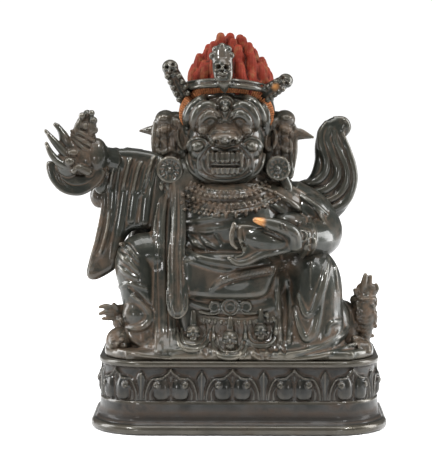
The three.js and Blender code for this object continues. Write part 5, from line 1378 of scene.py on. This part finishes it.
def petal_relief(x, z, half):
    """How far a petal and its neighbour's tip stand out of the wall, x across from the petal's keel and z up
    from its foot, in millimetres. `half` is half the spacing of the petals."""
    side = np.abs(x)
    wide = half / DRAWN_HALF
    border = [(0.0, 15.6), (1.7 * wide, 13.4), (4.2 * wide, 11.7), (7.6 * wide, 11.2), (10.0 * wide, 10.0),
              (11.8 * wide, 7.2), (12.7 * wide, 4.2), (13.1 * wide, 0.2)]
    line = smooth_path(border, 60)[0]
    edge = np.where(side < 10.6 * wide, np.interp(side, line[:, 0], line[:, 1]) - z,
                    np.interp(-z, -line[:, 1], line[:, 0]) - side)
    inside = step_between(edge, -0.3, 0.5)
    rim = near_curve(side, z, border, 1.15)
    lobe_x, lobe_z = (side - 4.7 * wide) / (4.5 * wide), (z - 4.4) / np.where(z > 4.4, 7.6, 4.6)
    lobe = np.clip(1 - np.abs(lobe_x) ** 2.6 - np.abs(lobe_z) ** 2.6, 0, 1) ** 0.6
    curl = near_curve(side, z, [(10.2 * wide, 0.4), (10.4 * wide, 3.6), (9.6 * wide, 6.2), (7.7 * wide, 9.4),
                                (6.2 * wide, 8.2), (6.9 * wide, 6.6), (8.1 * wide, 7.2)], 1.0)
    stud = np.clip(1 - ((side - 7.7 * wide) / 1.3) ** 2 - ((z - 8.0) / 1.3) ** 2, 0, 1) ** 0.5
    keel = near_curve(side, z, [(0.0, 0.2), (0.0, 12.2)], 1.0)
    gap = half - side
    leaf = step_between(np.interp(z, [0, 6, 10.5, 13, 14.8], [1.7, 1.6, 2.6, 1.7, 0.0]) - gap, -0.2, 0.6)
    leaf *= z < 15
    vein = near_curve(gap, z, [(0.0, 0.2), (0.0, 13.2)], 0.8)
    return (0.5 * inside + 1.25 * rim + 2.2 * lobe * inside + 0.9 * curl + 0.6 * stud + 0.7 * keel
            + 0.9 * leaf + 0.6 * vein * leaf)


def lotus_plinth():
    sizes = bpy.context.scene.guardian_plinth
    radius, height = sizes.corner_radius / MM, sizes.height / MM
    length = 2 * (sizes.width / MM + sizes.depth / MM - 4 * radius) + ROUND * radius
    count = 2 * round(length / (sizes.petal_pitch / MM) / 2)
    band_foot, band_top = 16.8, height - 3.4
    moulding = [  # how far the wall stands out at each height
        (1.4, 0.0), (3.2, 0.25), (4.2, 0.9), (4.5, 1.8), (4.5, 3.2), (4.1, 4.3), (3.2, 4.9), (2.3, 5.2),
        (2.1, 5.5), (1.7, 6.0), (0.7, 6.5), (0.1, 7.3), (0.0, 9.0), (0.0, 12.0), (0.0, 14.6), (0.0, 15.8),
        (-0.2, 16.3), (-0.9, 16.7)]
    tier = [(-1.7, z) for z in np.linspace(band_foot, band_top, 40)]
    cap = [(-0.4, band_top + 0.25), (0.2, band_top + 0.6), (0.35, band_top + 1.2), (0.3, height - 1.0),
           (0.1, height - 0.4), (-0.5, height - 0.1), (-1.4, height), (-4.0, height), (-9, height),
           (-20, height)]
    profile = [(-20, 0.0), (-6, 0.0)] + moulding + tier + cap
    columns = 2 * round(length / PLINTH_STEP / 2) // 1
    distances = np.arange(columns + 1) * length / columns
    crowding = 0.0422 * count / 12  # the petals are a little closer round the corners
    steps = count * (distances + PETAL_SHIFT) / length - crowding * np.sin(2 * ROUND * distances / length)
    half = length / count / 2
    across = (steps - np.round(steps)) * 2 * half
    places = []
    for out, z in profile:
        standing = np.full(columns + 1, float(out))
        if band_foot <= z <= band_top:
            standing += petal_relief(across, np.full(columns + 1, z - band_foot), half)
        places.append([(*[c * MM for c in wall_place(d, s, sizes)], z * MM)
                       for d, s in zip(distances, standing)])
    work = bmesh.new()
    rows = len(profile) - 1
    for corner in bmesh.ops.create_grid(work, x_segments=columns, y_segments=rows, size=1)["verts"]:
        row, column = round((corner.co.y + 1) / 2 * rows), round((corner.co.x + 1) / 2 * columns)
        corner.co = places[row][column]
    bmesh.ops.remove_doubles(work, verts=work.verts, dist=SAME_PLACE)
    for level in (profile[0][1] * MM, height * MM):
        rim_edges = [e for e in work.edges if e.is_boundary and abs(e.verts[0].co.z - level) < 1e-6]
        bmesh.ops.contextual_create(work, geom=rim_edges)
    bmesh.ops.recalc_face_normals(work, faces=work.faces)
    mesh = bpy.data.meshes.new("plinth")
    work.to_mesh(mesh)
    work.free()
    return new_object("lotus_plinth_cast", mesh)


# Stage

def aimed(item, place, target):
    item.location = place
    item.rotation_euler = (Vector(target) - item.location).to_track_quat("-Z", "Y").to_euler()


def lamp(name, kind, place, power):
    """A lamp that shines on the figure's middle."""
    light = bpy.data.lights.new(name, kind)
    light.energy = power
    aimed(new_object(name, light), place, (0, 0, 0.1))
    return light


def studio_stage():
    """The pale floor, soft studio light and the camera at the photograph's angle."""
    work = bmesh.new()
    bmesh.ops.create_grid(work, x_segments=1, y_segments=1, size=40.0)
    bmesh.ops.translate(work, vec=(0, 39.72, 0), verts=work.verts)
    mesh = bpy.data.meshes.new("floor")
    work.to_mesh(mesh)
    work.free()
    paper = Nodes("pale_paper")
    tone = paper.mixed(paper.ranged(paper.noise(240, 2.0), 0.3, 0.7), [0.96] * 3, [0.98] * 3)
    mesh.materials.append(paper.surface({"Base Color": tone, "Roughness": 0.9}))
    new_object("floor", mesh)

    world = bpy.data.worlds.new("studio")
    world.use_nodes = True
    tree = world.node_tree
    backdrop = tree.nodes["Background"]
    room = tree.nodes.new("ShaderNodeBackground")  # the studio's darker walls, which the bronze mirrors
    for shown, strength in ((backdrop, 1.1), (room, 0.17)):
        shown.inputs["Color"].default_value = (1, 1, 1, 1)
        shown.inputs["Strength"].default_value = strength
    chosen = tree.nodes.new("ShaderNodeMixShader")
    tree.links.new(tree.nodes.new("ShaderNodeLightPath").outputs["Is Camera Ray"], chosen.inputs[0])
    tree.links.new(room.outputs[0], chosen.inputs[1])
    tree.links.new(backdrop.outputs[0], chosen.inputs[2])
    tree.links.new(chosen.outputs[0], tree.nodes["World Output"].inputs["Surface"])
    bpy.context.scene.world = world
    for name, place, strength in (("left_flash", (-0.9, -1.0, 1.3), 2.3),
                                  ("right_flash", (0.8, -0.9, 1.4), 2.1)):
        lamp(name, "SUN", place, strength).angle = math.radians(8)
    for name, place, size, power in (("low_left_lamp", (-0.42, -0.95, 0.04), (0.12, 0.1), 1.3),
                                     ("low_right_lamp", (0.36, -0.98, 0.04), (0.12, 0.1), 1.0),
                                     ("overhead_softbox", (0.0, -0.15, 0.95), (0.7, 0.5), 8),
                                     ("left_softbox", (-0.95, 0.05, 0.35), (0.4, 0.9), 17),
                                     ("right_softbox", (0.95, 0.05, 0.35), (0.4, 0.9), 17)):
        light = lamp(name, "AREA", place, power)
        light.shape = "RECTANGLE"
        light.size, light.size_y = size

    camera = bpy.data.cameras.new("camera")
    item = new_object("camera", camera)
    aimed(item, (0, -1.0, 0.190), (-0.0118, 0, 0.0955))
    camera.sensor_fit = "VERTICAL"
    camera.sensor_width = camera.sensor_height = 24.0
    camera.lens = 1965 / 468 * 24.0  # from the photograph's perspective, in picture points over its height
    camera.clip_start = 0.05
    bpy.context.scene.camera = item
    bpy.context.scene.view_settings.view_transform = "Standard"


# Operators, one for each piece

class GUARDIAN_OT_lotus_plinth(bpy.types.Operator):
    """Adds the plinth with its ring of lotus petals"""
    bl_idname = "guardian.lotus_plinth"
    bl_label = "Lotus Plinth"

    def execute(self, context):
        bronze = bronze_material("plinth_patina", context.scene.guardian_finish, 0.27, 0.46)
        finish_piece(lotus_plinth(), "lotus_plinth", "plinth_bronze", bronze, PLINTH_TRIANGLES, placed=False,
                     dust=[((-11, -43, -30.4), (95, 14, 1.6)), ((-50, -43, -24), (18, 10, 4)),
                           ((16, -43, -26), (24, 10, 4)), ((50, -43, -22), (10, 10, 5)),
                           ((-11, -43, -3.6), (90, 12, 1.2))])
        return {"FINISHED"}


class GUARDIAN_OT_body(bpy.types.Operator):
    """Adds the cloaked body with its lap, knees and hem"""
    bl_idname = "guardian.body"
    bl_label = "Cloaked Body"

    def execute(self, context):
        finish_piece(cloaked_body(), most=BODY_TRIANGLES, dust=[
            ((HEAD_X, -20, 82), (34, 20, 13)), ((26, -8, 82), (18, 20, 11)), ((-2, -36, 14), (32, 20, 14)),
            ((-38, -20, 84), (10, 20, 12)), ((-52, -30, 8), (26, 20, 12)), ((0, 40, 40), (60, 26, 60)),
            ((-2, -38, 17.4), (26, 12, 4.4)), ((-9, -36, 38.4), (5, 8, 3)), ((0, -36, 41.6), (8, 8, 2.8)),
            ((13, -36, 44.4), (9, 8, 3)), ((22, -30, 46), (10, 12, 9)), ((8.4, -15.6, 87.6), (11, 10, 8))])
        return {"FINISHED"}


class GUARDIAN_OT_head(bpy.types.Operator):
    """Adds the head with its wrathful face"""
    bl_idname = "guardian.head"
    bl_label = "Head"

    def execute(self, context):
        finish_piece(guardian_head(), most=HEAD_TRIANGLES, dust=[((FACE_X, -28, 113), (20, 14, 6))])
        return {"FINISHED"}


class GUARDIAN_OT_hair(bpy.types.Operator):
    """Adds the painted, upswept hair and the painted fringe along the brow"""
    bl_idname = "guardian.hair"
    bl_label = "Hair"

    def execute(self, context):
        colours = context.scene.guardian_finish
        finish_piece(upswept_hair(), material=pigment_material("hair_pigment", colours.hair, 0.35, 0.85))
        finish_piece(painted_hairline(),
                     material=pigment_material("hairline_pigment", colours.hairline, 0.4, 0.6))
        return {"FINISHED"}


class GUARDIAN_OT_crown(bpy.types.Operator):
    """Adds the crown of five skulls"""
    bl_idname = "guardian.crown"
    bl_label = "Skull Crown"

    def execute(self, context):
        finish_piece(skull_crown(), gilt=[((18.0, -14.8, 134.4), 2.6)])
        return {"FINISHED"}


class GUARDIAN_OT_ribbons(bpy.types.Operator):
    """Adds the ribbon bows, streamers and disc earrings"""
    bl_idname = "guardian.ribbons"
    bl_label = "Ribbons and Earrings"

    def execute(self, context):
        finish_piece(head_ribbons(), dust=[((HEAD_X, -10, 110), (90, 90, 14))])
        return {"FINISHED"}


class GUARDIAN_OT_raised_arm(bpy.types.Operator):
    """Adds the raised arm's wide sleeve, and its hand with the crescent chopper"""
    bl_idname = "guardian.raised_arm"
    bl_label = "Raised Arm"

    def execute(self, context):
        finish_piece(raised_sleeve(), dust=[((-72, -12, 58), (9, 30, 34))])
        finish_piece(raised_hand(), dust=[((-78, -22, 104), (12, 20, 18))])
        return {"FINISHED"}


class GUARDIAN_OT_bent_arm(bpy.types.Operator):
    """Adds the bent arm with its bangle and the hand before the chest"""
    bl_idname = "guardian.bent_arm"
    bl_label = "Bent Arm"

    def execute(self, context):
        finish_piece(bent_arm(), gilt=[((9.6, -45.2, 68.8), 4.2)])
        return {"FINISHED"}


class GUARDIAN_OT_flying_sleeve(bpy.types.Operator):
    """Adds the end of the other sleeve, blown up behind the shoulder"""
    bl_idname = "guardian.flying_sleeve"
    bl_label = "Flying Sleeve"

    def execute(self, context):
        finish_piece(flying_sleeve())
        return {"FINISHED"}


class GUARDIAN_OT_trampled_body(bpy.types.Operator):
    """Adds the hands, head and foot of the small body he crushes"""
    bl_idname = "guardian.trampled_body"
    bl_label = "Trampled Body"

    def execute(self, context):
        finish_piece(trampled_body(), dust=[((0, -15, 20), (200, 60, 60))])
        return {"FINISHED"}


class GUARDIAN_OT_ornaments(bpy.types.Operator):
    """Adds the bead strings, the belt's scrolls and the hanging heads"""
    bl_idname = "guardian.ornaments"
    bl_label = "Body Ornaments"

    def execute(self, context):
        finish_piece(body_ornaments(), dust=[((0, -25, 80), (60, 60, 30))])
        return {"FINISHED"}


class GUARDIAN_OT_stage(bpy.types.Operator):
    """Adds the pale floor, the studio light and the camera"""
    bl_idname = "guardian.stage"
    bl_label = "Stage"

    def execute(self, context):
        studio_stage()
        return {"FINISHED"}


class GUARDIAN_PT_panel(bpy.types.Panel):
    """The figure's sizes, colours and pieces"""
    bl_idname = "GUARDIAN_PT_panel"
    bl_label = "Guardian"
    bl_space_type = "VIEW_3D"
    bl_region_type = "UI"
    bl_category = "Guardian"

    def draw(self, context):
        for name in GROUPS:
            group = getattr(context.scene, name)
            box = self.layout.box()
            for key in group.__annotations__:
                box.prop(group, key)
        for operator in OPERATORS:
            self.layout.operator(operator.bl_idname)


OPERATORS = (GUARDIAN_OT_lotus_plinth, GUARDIAN_OT_body, GUARDIAN_OT_head, GUARDIAN_OT_hair,
             GUARDIAN_OT_crown, GUARDIAN_OT_ribbons, GUARDIAN_OT_raised_arm, GUARDIAN_OT_bent_arm,
             GUARDIAN_OT_flying_sleeve, GUARDIAN_OT_trampled_body, GUARDIAN_OT_ornaments, GUARDIAN_OT_stage)
CLASSES = (PlinthSizes, FigureSizes, FinishColours, *OPERATORS, GUARDIAN_PT_panel)
GROUPS = {"guardian_plinth": PlinthSizes, "guardian_figure": FigureSizes, "guardian_finish": FinishColours}


def register():
    for item in CLASSES:
        bpy.utils.register_class(item)
    for name, group in GROUPS.items():
        setattr(bpy.types.Scene, name, PointerProperty(type=group))


def unregister():
    for name in GROUPS:
        delattr(bpy.types.Scene, name)
    for item in reversed(CLASSES):
        bpy.utils.unregister_class(item)


def main():
    register()
    bpy.ops.guardian.lotus_plinth()
    bpy.ops.guardian.body()
    bpy.ops.guardian.head()
    bpy.ops.guardian.hair()
    bpy.ops.guardian.crown()
    bpy.ops.guardian.ribbons()
    bpy.ops.guardian.raised_arm()
    bpy.ops.guardian.bent_arm()
    bpy.ops.guardian.flying_sleeve()
    bpy.ops.guardian.trampled_body()
    bpy.ops.guardian.ornaments()
    bpy.ops.guardian.stage()


if __name__ == "__main__":
    main()
